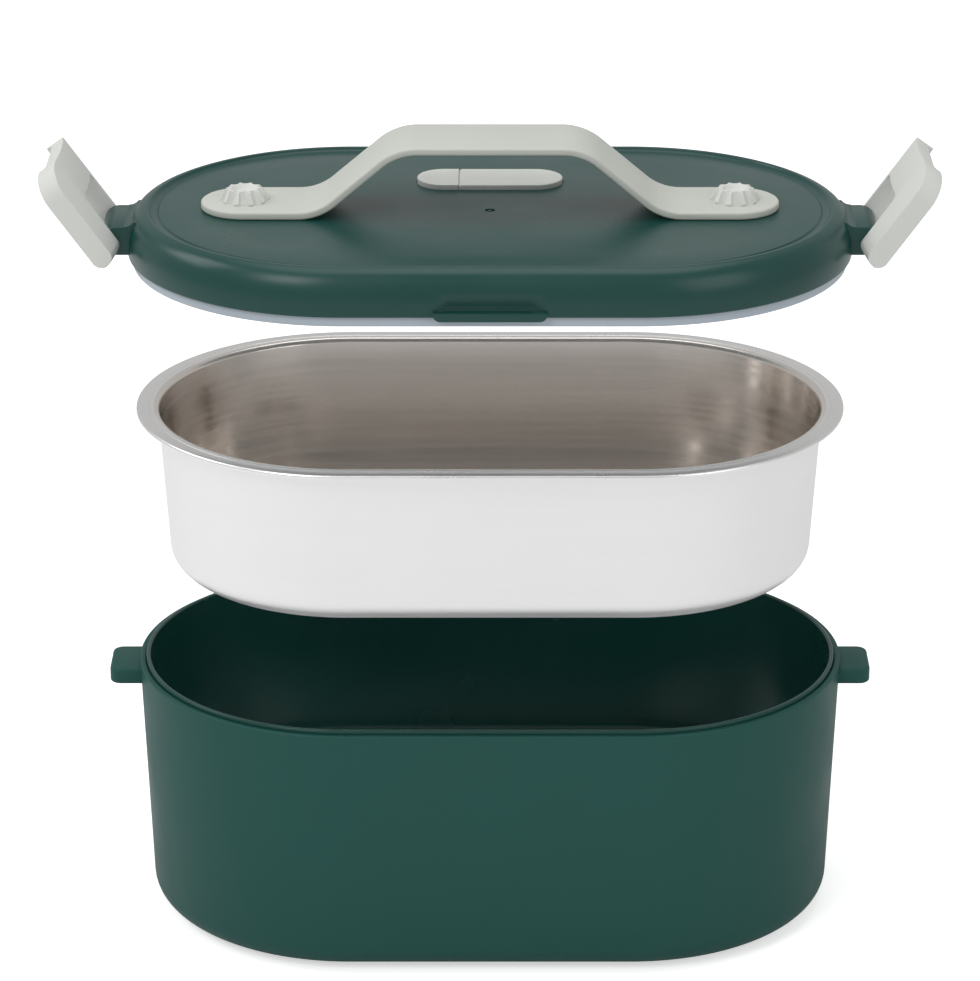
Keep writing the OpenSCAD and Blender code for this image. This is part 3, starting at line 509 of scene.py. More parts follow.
LID_GREEN = Finish("lid_green", (0.005, 0.048, 0.041), (0.006, 0.053, 0.046), (0.27, 0.34),
                   specular=0.37, bump=0.02)
BODY_GREEN = Finish("body_green", (0.012, 0.070, 0.059), (0.014, 0.076, 0.065), (0.40, 0.50),
                    specular=0.2, bump=0.05)
LINER_GREEN = Finish("liner_green", (0.007, 0.050, 0.041), (0.009, 0.056, 0.046), (0.20, 0.28),
                     specular=0.3, bump=0.02)
GREY_PLASTIC = Finish("grey_plastic", (0.50, 0.52, 0.46), (0.53, 0.545, 0.49), (0.42, 0.52))
STRAP_GREY = Finish("strap_grey", (0.51, 0.53, 0.48), (0.54, 0.555, 0.51), (0.5, 0.62), bump=0.08)
SEAL_GREY = Finish("seal_grey", (0.36, 0.42, 0.47), (0.40, 0.45, 0.50), (0.35, 0.45))
INNER_GREY = Finish("inner_grey", (0.50, 0.54, 0.56), (0.54, 0.57, 0.59), (0.30, 0.40))
STEEL_OUTSIDE = Finish("steel_outside", (0.93, 0.92, 0.92), (0.90, 0.89, 0.89), (0.42, 0.52),
                       metallic=0.85, stretch=(14, 14, 700), bump=0.02)
# The inside's colour is darker and warmer than the outside's, as a painted brown reflection. Its
# lower roughness is the polished inside.
STEEL_INSIDE_PAINTED_REFLECTION = Finish("steel_inside_painted_reflection", (0.78, 0.735, 0.695), (0.72, 0.68, 0.64), (0.16, 0.24),
                      metallic=1.0, stretch=(14, 14, 500), bump=0.012)
STEEL_RIM = Finish("steel_rim", (0.88, 0.87, 0.86), (0.84, 0.83, 0.82), (0.26, 0.34),
                   metallic=1.0, stretch=(60, 60, 60), bump=0.0)
STEEL_PLAIN = Finish("steel_plain", (0.62, 0.62, 0.63), (0.55, 0.55, 0.56), (0.25, 0.38),
                     metallic=1.0, stretch=(300, 300, 300), bump=0.02)
ALUMINIUM = Finish("aluminium", (0.72, 0.73, 0.74), (0.66, 0.67, 0.68), (0.32, 0.45),
                   metallic=1.0, stretch=(900, 20, 20), bump=0.05)
BRASS = Finish("brass", (0.70, 0.52, 0.24), (0.62, 0.45, 0.20), (0.28, 0.4), metallic=1.0,
               stretch=(400, 400, 400), bump=0.02)
BLACK_PLASTIC = Finish("black_plastic", (0.020, 0.021, 0.022), (0.026, 0.027, 0.028),
                       (0.45, 0.58), bump=0.12, grain_scale=1800)
BLACK_RUBBER = Finish("black_rubber", (0.018, 0.018, 0.018), (0.028, 0.028, 0.028), (0.65, 0.8),
                      bump=0.15, grain_scale=1500)
RED_RUBBER = Finish("red_rubber", (0.36, 0.07, 0.04), (0.42, 0.09, 0.05), (0.6, 0.75), bump=0.1)
SLEEVE = Finish("fuse_sleeve", (0.62, 0.58, 0.45), (0.70, 0.66, 0.54), (0.7, 0.85), bump=0.5,
                grain_scale=3500)
RED_LENS = Finish("red_lens", (0.65, 0.03, 0.02), (0.70, 0.04, 0.03), (0.10, 0.16),
                  transmission=0.5)
LAMP_GLASS = Finish("lamp_glass", (0.85, 0.70, 0.55), (0.90, 0.75, 0.60), (0.08, 0.12),
                    transmission=0.7)
BROWN_WIRE = Finish("brown_wire", (0.16, 0.07, 0.03), (0.19, 0.08, 0.04), (0.45, 0.55))
BLUE_WIRE = Finish("blue_wire", (0.03, 0.08, 0.28), (0.04, 0.10, 0.33), (0.45, 0.55))
LEAD_WIRE = Finish("lead_wire", (0.62, 0.62, 0.60), (0.68, 0.68, 0.66), (0.45, 0.55))

SOLID_FINISHES: tuple[tuple[Finish, str], ...] = (
    (ALUMINIUM, "heating_plate heater_block"), (RED_RUBBER, "plate_gasket"),
    (STEEL_PLAIN, "plate_screws heater_clamp clamp_screws thermostat_flange thermostat_screws"),
    (STEEL_PLAIN, "fuse_clip fuse_screw stud_screws clip_pin_left clip_pin_right"),
    (BLACK_PLASTIC, "thermostat inlet_socket bottom_cover"), (BRASS, "heater_tabs inlet_pins"),
    (SLEEVE, "thermal_fuse"), (RED_LENS, "indicator_lens"), (LAMP_GLASS, "neon_lamp"),
    (BROWN_WIRE, "wire_live wire_fuse"), (BLUE_WIRE, "wire_neutral wire_thermostat"),
    (LEAD_WIRE, "lamp_lead_near lamp_lead_far"),
)


# ---------------------------------------------------------------- the box


@dataclass
class Plan:
    """What the pieces share: the end axes and the rim, read from the frame."""

    end: float
    rim: float

    @classmethod
    def from_frame(cls) -> Plan:
        """Reads the plan from the tray, whose rim is an obround, and from the shell."""
        tray = box_mm("food_tray")[1]
        return cls(end=tray.x - tray.y, rim=box_mm("outer_shell")[1].y)


@dataclass
class Base:
    """The heated base: its shell with two lugs, its liner, feet and screws."""

    plan: Plan
    wall, lean, foot_round = 2.0, 3.0, 8.0
    cover_ledge, inlet_flange, lens_hole = 7.3, 0.9, 2.65
    liner_wall, opening = 1.5, 36.9
    post_radius, post_foot, post_ring, side_post = 3.5, 5.5, 3.8, 30.0
    lug_width, lug_height, lug_drop = 20.0, 5.4, 3.6
    rubber_radius = 6.0
    screw_head, head_height, screw_shank = 5.4, 1.0, 1.45
    cross_length, cross_width, cross_depth = 2.6, 0.6, 0.7

    def __post_init__(self) -> None:
        """Reads the levels of the base from the frame."""
        low, high = box_mm("outer_shell")
        self.bottom, self.rim_top = low.z, high.z
        self.lug_end = high.x
        self.lip_top = box_mm("inner_liner")[1].z
        self.floor = box_mm("plate_gasket")[0].z
        self.cover_radius = box_mm("bottom_cover")[1].y

    def side(self, height: float) -> float:
        """Radius of the shell's outer face at a height."""
        low = self.bottom + self.foot_round
        return self.plan.rim - self.lean + self.lean * (height - low) / (self.rim_top - low)

    def shell(self) -> None:
        """Makes the outer shell, with its lugs and the holes for the inlet and the lens."""
        wall, rim, bottom = self.wall, self.plan.rim, self.bottom
        inner, ledge = self.cover_radius + GAP, self.cover_radius - self.cover_ledge
        rabbet = bottom + wall
        shell = obround(self.plan.end, [
            (inner, bottom, 0.4), (self.side(bottom), bottom, self.foot_round),
            (rim, self.rim_top, 0.55), (rim - wall, self.rim_top, 0.5),
            (self.side(rabbet) - wall, rabbet, self.foot_round - wall),
            (inner + wall, rabbet), (inner + wall, rabbet + wall),
            (ledge, rabbet + wall), (ledge, rabbet), (inner, rabbet)])
        join(shell, *(self.lug(side) for side in SIDES))
        low, high = box_mm("inlet_socket")
        edge = self.inlet_flange
        hole = block((low.x + edge, high.y - 8, low.z + edge),
                     (high.x - edge, high.y + 4, high.z - edge))
        round_along(hole, 1, 2, lambda co: True)
        take(shell, hole)
        low, high = box_mm("indicator_lens")
        middle = (low + high) / 2
        take(shell, rod(self.lens_hole, 14, (middle.x, high.y - 3, middle.z), "Y"))
        finish_piece(shell, "shell", BODY_GREEN, "base", "green_plastic", "outer_shell")

    def lug(self, side: int) -> Piece:
        """Makes the latch lug of one side, rounded at its outer end."""
        top = self.lip_top - self.lug_drop
        root = self.plan.end + self.plan.rim - self.wall + GAP
        end = side * self.lug_end
        low_x, high_x = sorted((side * root, end))
        lug = block((low_x, -self.lug_width / 2, top - self.lug_height),
                    (high_x, self.lug_width / 2, top))
        round_along(lug, 2, 3.5, lambda co: abs(co.x - end) < 0.1)
        soften(lug, 0.9, 4, 50)
        return lug

    def liner(self) -> None:
        """Makes the glossy liner with its raised lip, and the posts under it."""
        top, floor, wall = self.lip_top, self.floor, self.liner_wall
        under = floor - wall
        outer_top = self.plan.rim - self.wall - GAP
        outer_low = self.side(under) - self.wall - GAP
        liner = obround(self.plan.end, [
            (outer_top, top, 0.5), (outer_top - wall, top, 0.55),
            (outer_low - wall - 0.2, floor, 5.5), (self.opening, floor),
            (self.opening, under), (outer_low, under, 6.9)])
        for place in self.post_places():
            join(liner, pin(self.post_radius, place, self.post_foot, under + 0.6, 40))
        finish_piece(liner, "liner", LINER_GREEN, "base", "liner_plastic", "inner_liner")

    def post_places(self) -> list[tuple[float, float]]:
        """Places of the six posts and of the screws that go up into them."""
        radius, across = self.cover_radius - self.post_ring, self.side_post
        sides = [(x, y) for x in (-across, across) for y in (-radius, radius)]
        return sides + [(side * (self.plan.end + radius), 0) for side in SIDES]

    def feet(self) -> None:
        """Makes the four rubber feet, each with a rounded edge and a shallow ring."""
        low, high = box_mm("rubber_feet")
        radius = self.rubber_radius
        centres = [(sx * (high.x - radius), sy * (high.y - radius)) for sx in SIDES for sy in SIDES]
        for number, place in enumerate(centres, 1):
            foot = pin(radius, place, low.z, high.z)
            with editing(foot, "FACE"):
                select_faces(foot, lambda face: face.normal.z < -0.9)
                bpy.ops.mesh.inset(thickness=1.6)
                bpy.ops.mesh.inset(thickness=0.4)
                bpy.ops.transform.translate(value=(0, 0, 0.5))
            soften(foot, 0.35, 3, 50)
            finish_piece(foot, f"rubber_foot_{number}", BLACK_RUBBER, "base",
                                     "black_rubber")
        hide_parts("rubber_feet")

    def screws(self) -> None:
        """Makes the bottom cover's screws, each with a cross recess."""
        low, high = box_mm("cover_screws")
        for number, (x, y) in enumerate(self.post_places(), 1):
            screw = pin(self.screw_head / 2, (x, y), low.z, low.z + self.head_height, 48)
            join(screw, pin(self.screw_shank, (x, y), low.z + OVERLAP, high.z))
            size = (self.cross_length / 2, self.cross_width / 2)
            for dx, dy in (size, reversed(size)):
                take(screw, block((x - dx, y - dy, low.z - 1),
                                  (x + dx, y + dy, low.z + self.cross_depth)))
            soften(screw, 0.18, 2, 50)
            finish_piece(screw, f"cover_screw_{number}", STEEL_PLAIN, "base", "steel")
        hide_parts("cover_screws")

    def build(self) -> None:
        """Makes the pieces of the base."""
        self.shell()
        self.liner()
        self.feet()
        self.screws()


@dataclass
class Tray:
    """The steel tray: a deep pan with a flat rim, a bead round its mouth and a hem."""

    plan: Plan
    sheet, rim_width, mouth_round, hem, lean = 0.6, 5.5, 1.6, 1.2, 3.8
    bead, bead_half, bead_depth = 1.2, 0.3, 0.28
    floor_round, ledge, step, step_run, centre_run = 7.0, 5.0, 2.0, 1.6, 6.0

    def build(self) -> None:
        """Makes the pan as a surface with its bends, and gives it its thickness."""
        low, high = box_mm("food_tray")
        end, half_sheet = self.plan.end, self.sheet / 2
        top, outer = high.z - half_sheet, high.y - half_sheet
        mouth = high.y - self.rim_width
        bead = mouth + self.bead
        wall = mouth - self.mouth_round
        foot = wall - self.lean + half_sheet
        inner = foot - self.floor_round - self.ledge
        floor = low.z + half_sheet
        shelf = low.z + self.step + half_sheet
        pan = obround(end, [
            (outer, high.z - self.hem + 0.05), (outer, top, 0.45),
            (bead + self.bead_half, top, 0.2), (bead, top - self.bead_depth, 0.15),
            (bead - self.bead_half, top, 0.2), (wall, top, 1.5),
            (foot, shelf, self.floor_round), (inner, shelf, 1.2),
            (inner - self.step_run, floor, 1.2), (inner - self.centre_run, floor)],
            closed=False, capped=False)
        with editing(pan):
            select_verts(pan, lambda vert: abs(vert.co.z - floor) < LEVEL_SLACK
                         and radius_at(vert.co, end) < inner - self.centre_run + 0.05)
            bpy.ops.mesh.edge_face_add()
            face_outwards()
        thicken(pan, self.sheet)
        self.dress(pan, top, mouth)
        finish_piece(pan, "pan", None, "tray", "tray_steel", "food_tray")

    def dress(self, pan: Piece, top: float, mouth: float) -> None:
        """Gives the outside and the rim from the mouth their own finishes, and the inside a darker,
        warmer steel whose tint is a painted reflection.
        """
        end = self.plan.end

        def inward(face: Face) -> bool:
            """Whether a face looks into the tray."""
            middle = face.calc_center_median()
            out = Vector((middle.x - math.copysign(min(abs(middle.x), end), middle.x), middle.y, 0))
            facing = face.normal.dot(out.normalized()) if out.length > 1 else 0
            return facing < -0.3 or (face.normal.z > 0.3 and out.length < mouth)

        def on_rim(face: Face) -> bool:
            """Whether a face is part of the flat rim's top."""
            middle = face.calc_center_median()
            return radius_at(middle, end) > mouth - 0.3 and middle.z > top - 0.5

        for finish in (STEEL_OUTSIDE, STEEL_INSIDE_PAINTED_REFLECTION, STEEL_RIM):
            pan.data.materials.append(finish.material())
        with editing(pan):
            face_outwards()
            # The faces that look into the tray take the steel with the painted brown reflection.
            for index, test in enumerate((inward, on_rim), 1):
                select_faces(pan, test)
                pan.active_material_index = index
                bpy.ops.object.material_slot_assign()


@dataclass
class Lid:
    """The lid: its green cover, grey seal, inner dish and steam vent."""

    plan: Plan
    joints: dict[str, dict]
    wall, height, side_height = 2.0, 14.4, 3.5
    ridge_in, ridge_width, panel_drop, panel_edge = 6.0, 4.0, 1.0, 12.0
    ear_width, ear_height, ear_drop, ear_nose, ear_fillet = 24.0, 9.4, 3.0, 2.4, 4.0
    tab_width, tab_out = 35.0, 1.5
    scoop_span, scoop_grid, scoop_depth = (0.9, 7.4), (0.75, 0.5), 1.35
    scoop_margin, scoop_fade, scoop_bias = 2.75, 5.0, 0.62
    pin_bore, stud_hole, pocket = 1.42, 3.15, 1.2
    dimple, dimple_radius, dimple_depth, nub_radius = (0, -3), 1.65, 0.45, 0.5
    vent_height, steam_x, stem_in = 2.6, 4.0, 6.5
    tray_edge = 6.7

    def __post_init__(self) -> None:
        """Reads the lid's levels and places from the frame."""
        self.edge = box_mm("lid_cover")[1].z - self.height
        self.ridge = self.plan.rim - self.ridge_in
        self.panel_radius = self.ridge - self.ridge_width
        self.panel = self.height - self.panel_drop
        low, high = box_mm("vent_plug")
        self.vent_y = (low.y + high.y) / 2
        self.vent_end = high.x
        self.vent_radius = (high.y - low.y) / 2
        self.vent_half = self.vent_end - self.vent_radius
        self.stem_x = self.stem_in - self.vent_end
        low, high = box_mm("stud_right")
        self.stud_x = (low.x + high.x) / 2
        pivot = Vector(self.joints["clip_right_hinge"]["pos_m"]) / MM
        self.pivot = Vector((pivot.x, 0, pivot.z - self.edge))

    def cover(self) -> None:
        """Makes the cover with its ears, tab, scoop, vent pocket and dimple."""
        rise = self.height - self.side_height
        rim, ridge, wall = self.plan.rim, self.ridge, self.wall
        panel, radius = self.panel, self.panel_radius
        shoulder = arc((ridge, self.side_height), (self.ridge_in, rise - 0.2), range(78, -1, -6))
        under = arc((ridge - wall, self.side_height), (self.ridge_in, rise - wall - 0.6),
                    [80 * i / 7 for i in range(8)])
        cover = obround(self.plan.end, [
            (radius - self.panel_edge, panel), (radius - 0.2, panel, 0.15),
            (radius + 0.3, panel - 0.45, 0.1), (radius + 2.4, panel + 0.05, 1.6),
            (ridge - 0.9, self.height, 0.4), (ridge + 0.1, self.height, 0.5),
            *shoulder, (rim, 0, 0.5), (rim - wall, 0, 0.3), *under,
            (radius - 2, panel - wall), (radius - self.panel_edge, panel - wall)],
            closed=False)
        self.add_scoop(cover)
        self.add_vent_pad(cover)
        join(cover, *(self.ear(side) for side in SIDES), self.tab())
        deep, low = self.dimple_depth, panel - self.dimple_depth - OVERLAP
        take(cover, pin(self.dimple_radius, self.dimple, panel - deep, panel + deep, 48))
        join(cover, pin(self.nub_radius, self.dimple, low, panel - 0.05, 24))
        for side in SIDES:
            take(cover, rod(self.pin_bore, self.ear_width + 4,
                            (side * self.pivot.x, 0, self.pivot.z), "Y"),
                 rod(self.stud_hole, 12, (side * self.stud_x, 0, panel)))
        move(cover, z=self.edge)
        finish_piece(cover, "cover", LID_GREEN, "lid", "green_plastic", "lid_cover")

    def add_scoop(self, cover: Piece) -> None:
        """Presses the soft finger scoop into the cover's side, above the tab."""
        front, half = -self.plan.rim, self.tab_width / 2
        (low, high), (column, row) = self.scoop_span, self.scoop_grid
        rows, columns = round((high - low) / row), round((half + self.scoop_margin) / column)
        cuts = [((i * column, 0, 0), (1, 0, 0)) for i in range(-columns, columns + 1)]
        cuts += [((0, 0, low + i * row), (0, 0, 1)) for i in range(rows)]

        def in_front(face: Face) -> bool:
            """Whether a face is on the straight front of the cover's side."""
            middle = face.calc_center_median()
            return (face.normal.y < -0.3 and middle.y < front + 5
                    and abs(middle.x) < self.plan.end - 1)

        with editing(cover, "FACE"):
            for place, across in cuts:
                select_faces(cover, in_front)
                bpy.ops.mesh.bisect(plane_co=place, plane_no=across)
        for vert in cover.data.vertices:
            inside = vert.co.y < front + 3 and low < vert.co.z < high and abs(vert.co.x) < half
            if inside and vert.normal.y < -0.1:
                up = (vert.co.z - low) / (high - low)
                level = math.sin(math.pi * up ** self.scoop_bias)
                fade = min(1.0, (half - abs(vert.co.x)) / self.scoop_fade)
                vert.co.y += self.scoop_depth * level * fade * fade * (3 - 2 * fade)

    def add_vent_pad(self, cover: Piece) -> None:
        """Adds the pad under the vent and cuts the vent's pocket and holes."""
        bottom = self.panel - self.pocket
        for change, more, low, high in (
                (join, 2, bottom - 1.6, self.panel - 0.5), (take, 0.3, bottom, self.panel + 3)):
            radius = self.vent_radius + more
            tool = obround(self.vent_half, [(radius, low), (radius, high)],
                           closed=False, steps=FEW_STEPS)
            move(tool, y=self.vent_y)
            change(cover, tool)
        for radius, x in ((2.5, self.steam_x), (2.1, self.stem_x)):
            take(cover, rod(radius, 12, (x, self.vent_y, bottom - 3)))

    def ear(self, side: int) -> Piece:
        """Makes the ear of one side, with its round end and the fillet into the shoulder."""
        low = self.pivot.z - self.ear_drop
        top = low + self.ear_height
        tip = self.pivot.x + self.ear_nose
        root = self.plan.end + self.plan.rim - self.wall - 1.0
        width, fillet = self.ear_width / 2, self.ear_fillet
        ear = block((root, -width, low), (tip, width, top))
        round_along(ear, 1, 5, lambda co: co.x > tip - 0.1 and co.z > top - 0.1, 12)
        round_along(ear, 1, 1.2, lambda co: co.x > tip - 0.1 and co.z < low + 0.1, 5)
        rise = self.height - self.side_height - 0.2
        angle = math.asin((top - self.side_height) / rise)
        edge = self.plan.end + self.ridge + self.ridge_in * math.cos(angle) + 1.9
        wedge = block((root - 0.5, -width, top - 2), (edge, width, top + 1.5))
        take(wedge, rod(fillet, self.ear_width + 4, (edge, 0, top + fillet), "Y", FEW_STEPS))
        soften(ear, 0.5, 3, 60)
        join(ear, wedge)
        take(ear, pin(self.plan.rim - self.wall + 0.3, (self.plan.end, 0), -2,
                      self.side_height, 256))
        if side < 0:
            mirror(ear)
        return ear

    def tab(self) -> Piece:
        """Makes the finger tab with tapered ends, under the cover's front edge."""
        front, half = -self.plan.rim, self.tab_width / 2
        tab = block((-half, front - self.tab_out, -0.8), (half, front + 1.8, 1.9))
        round_along(tab, 1, 2.3, lambda co: co.z < 0)
        round_along(tab, 2, 1.3, lambda co: co.y < front - 1, 6)
        soften(tab, 0.4, 3, 60)
        return tab

    def seal(self) -> None:
        """Makes the grey seal below the cover's edge, with a groove between two lips."""
        low, high = box_mm("lid_seal")
        base, outer, edge = low.z, high.y, self.edge - GAP
        inner = self.plan.rim - self.tray_edge - 1.2
        flange = self.plan.rim - self.wall - 0.2
        groove = (inner + outer) / 2
        seal = obround(self.plan.end, [
            (inner, base, 0.6), (groove - 0.7, base, 0.2), (groove, base + 1.0, 0.3),
            (groove + 0.7, base, 0.2), (outer, base, 0.7), (outer, edge, 0.2),
            (flange, edge), (flange, high.z), (inner, high.z)])
        finish_piece(seal, "seal", SEAL_GREY, "lid", "seal_rubber", "lid_seal")

    def dish(self) -> None:
        """Makes the inner dish, with a stiffening step and the steam hole."""
        low, high = box_mm("inner_lid")
        wall, flange = self.plan.rim - self.tray_edge - 1.3, high.y
        middle, step, thickness = 30, 0.6, 1.4
        floor = low.z + thickness
        dish = obround(self.plan.end, [
            (middle, floor), (wall - 14, floor, 1.0), (wall - thickness, floor, 2.2),
            (wall - thickness, high.z, 0.3), (flange, high.z, 0.3),
            (flange, high.z - thickness, 0.3), (wall, high.z - thickness, 0.3),
            (wall, low.z, 2.8), (wall - 9, low.z, 0.8), (wall - 10, low.z + step, 0.8),
            (middle, low.z + step)], closed=False)
        take(dish, rod(2, 6, (self.steam_x, self.vent_y, low.z + 1)))
        finish_piece(dish, "dish", INNER_GREY, "lid", "inner_plastic", "inner_lid")

    def vent(self) -> None:
        """Makes the vent's anchor and its hinged plug, with a thin web below the hinge."""
        plug, anchor = box_mm("vent_plug"), box_mm("vent_anchor")
        top = anchor[1].z
        bottom, half = top - self.vent_height, self.vent_height / 2
        hinge, split = plug[0].x + half, anchor[1].x + 0.35
        near, far = self.vent_y - self.vent_radius, self.vent_y + self.vent_radius

        def part(low_x: float, high_x: float) -> Piece:
            """The space that one of the two pieces takes, before its hinge end is made."""
            return block((low_x, self.vent_y - 20, bottom - 1),
                         (high_x, self.vent_y + 20, top + 1))

        def barrel(radius: float) -> Piece:
            """A bar along the hinge's axis."""
            return rod(radius, 40, (hinge, self.vent_y, bottom + half), "Y", 48)

        cap = self.vent_cap(bottom, top)
        keep(cap, part(anchor[0].x - 1, split))
        take(cap, barrel(half + 0.25))
        join(cap, block((split - 0.7, near + 0.6, bottom),
                        (plug[0].x + 0.12, far - 0.6, bottom + 0.75)))
        self.end_cap(cap, self.stem_x, anchor[0].z, bottom, "lid", "vent_anchor")
        cap, space = self.vent_cap(bottom, top), part(hinge, plug[1].x + 1)
        join(space, barrel(half))
        keep(cap, space)
        self.end_cap(cap, self.steam_x, plug[0].z, bottom, "vent_flap", "vent_plug")

    def vent_cap(self, bottom: float, top: float) -> Piece:
        """Makes the whole vent's outline with its inset top, between two heights."""
        radius = self.vent_radius
        cap = obround(self.vent_half, [(radius, bottom, 0.5), (radius, top, 1.0)],
                      closed=False, steps=FEW_STEPS)
        with editing(cap, "FACE"):
            select_faces(cap, lambda face: face.normal.z > 0.9)
            bpy.ops.mesh.inset(thickness=2.2)
            bpy.ops.mesh.inset(thickness=0.5)
            bpy.ops.transform.translate(value=(0, 0, -0.25))
        move(cap, y=self.vent_y)
        return cap

    def end_cap(self, cap: Piece, stem_x: float, stem_low: float, bottom: float, body: str,
                node: str) -> None:
        """Adds a vent piece's stem, which reaches down from its bottom, and finishes it."""
        join(cap, pin(2.0, (stem_x, self.vent_y), stem_low, bottom + 1))
        soften(cap, 0.25, 3, 45)
        finish_piece(cap, f"{node}_cap", GREY_PLASTIC, body, "grey_plastic", node)

    def build(self) -> None:
        """Makes the pieces of the lid."""
        self.cover()
        self.seal()
        self.dish()
        self.vent()


class Handle:
    """The strap handle and the two fluted studs that hold it."""

    thickness, top_length, slope = 2.6, 46.0, 38.0
    bend, bend_steps = 18.0, 14
    stud_hole, stud_height, stud_top = 3.1, 4.0, 0.74
    dish_depth, shank_radius = 1.5, 2.95
    flutes, flute_radius, flute_out = 10, 1.55, 0.35

    def __init__(self) -> None:
        """Reads the strap's place and size from the frame."""
        self.low, self.high = box_mm("handle_strap")
        self.rise = self.high.z - self.low.z - self.thickness

    def line(self) -> list[tuple[float, float]]:
        """Points along the middle of the strap, from its left end to its right end."""
        bend, count = self.bend, self.bend_steps
        across, up = self.slope / 2, bend - self.rise / 2
        angle = math.asin(bend / math.hypot(across, up)) - math.atan2(up, across)
        shoulder = -self.top_length / 2
        foot = shoulder - self.slope
        turns = [angle * i / count for i in range(count + 1)]
        lower = [(foot + bend * math.sin(a), bend - bend * math.cos(a)) for a in turns]
        upper = [(shoulder - bend * math.sin(a), self.rise - bend + bend * math.cos(a))
                 for a in reversed(turns)]
        left = [(self.low.x - 1, 0.0), *lower, *upper]
        return left + [(-x, z) for x, z in reversed(left)]

    def strap(self) -> None:
        """Makes the strap: a band extruded along its line, thickened, with round ends."""
        points = self.line()
        width = self.high.y - self.low.y
        strap = add("plane", size=1)
        with editing(strap):
            select_verts(strap, lambda vert: vert.co.x > 0)
            bpy.ops.mesh.delete(type="VERT")
            bpy.ops.mesh.select_all(action="SELECT")
            bpy.ops.transform.resize(value=(1, width, 1), center_override=(0, 0, 0))
            bpy.ops.transform.translate(value=(
                points[0][0] + 0.5, 0, self.low.z + self.thickness / 2 + points[0][1]))
            for (x0, z0), (x1, z1) in zip(points, points[1:]):
                bpy.ops.mesh.extrude_edges_move(
                    TRANSFORM_OT_translate={"value": (x1 - x0, 0, z1 - z0)})
        thicken(strap, self.thickness)
        half, radius = self.high.x - width / 2, width / 2 - 0.01
        keep(strap, obround(half, [(radius, self.low.z - 2), (radius, self.high.z + 2)],
                            closed=False))
        take(strap, *(rod(self.stud_hole, 8, (side * half, 0, self.low.z)) for side in SIDES))
        soften(strap, 0.8, 4, 50)
        finish_piece(strap, "strap", STRAP_GREY, "lid", "strap_rubber", "handle_strap")

    def flute(self, angle: float, radius: float, seat: float) -> Piece:
        """Makes the bar that cuts a flute at an angle round a stud, leaning like its side."""
        out = Vector((math.cos(angle), math.sin(angle), 0)) * (radius + self.flute_out)
        flute = rod(self.flute_radius, self.stud_height * 1.6,
                    (out.x, out.y, seat + self.stud_height / 2), steps=32)
        foot = Matrix.Translation((out.x, out.y, seat))
        lean = Matrix.Rotation(-math.atan(radius * (1 - self.stud_top) / self.stud_height), 4,
                               Vector((-math.sin(angle), math.cos(angle), 0)))
        flute.data.transform(foot @ lean @ foot.inverted())
        return flute

    def stud(self, side: str) -> None:
        """Makes the left or the right fluted stud, with a dished top."""
        low, high = box_mm(f"stud_{side}")
        radius = (high.x - low.x) / 2
        seat, dish = high.z - self.stud_height, high.z - self.dish_depth
        rim = radius * self.stud_top
        stud = obround(0.0001, [
            (radius - 0.3, seat), (radius, seat + 0.5, 0.5), (rim, high.z, 0.6),
            (rim - 1.5, high.z, 0.5), (radius * 0.4, dish, 0.9), (radius * 0.2, dish)],
            closed=False, steps=120)
        for i in range(self.flutes):
            take(stud, self.flute((i + 0.5) * math.tau / self.flutes, radius, seat))
        join(stud, pin(self.shank_radius, (0, 0), low.z, seat + OVERLAP))
        soften(stud, 0.3, 3, 42)
        move(stud, x=(low.x + high.x) / 2)
        finish_piece(stud, f"stud_{side}_cap", GREY_PLASTIC, "lid", "grey_plastic", f"stud_{side}")

    def build(self) -> None:
        """Makes the strap and both studs."""
        self.strap()
        for side in ("left", "right"):
            self.stud(side)


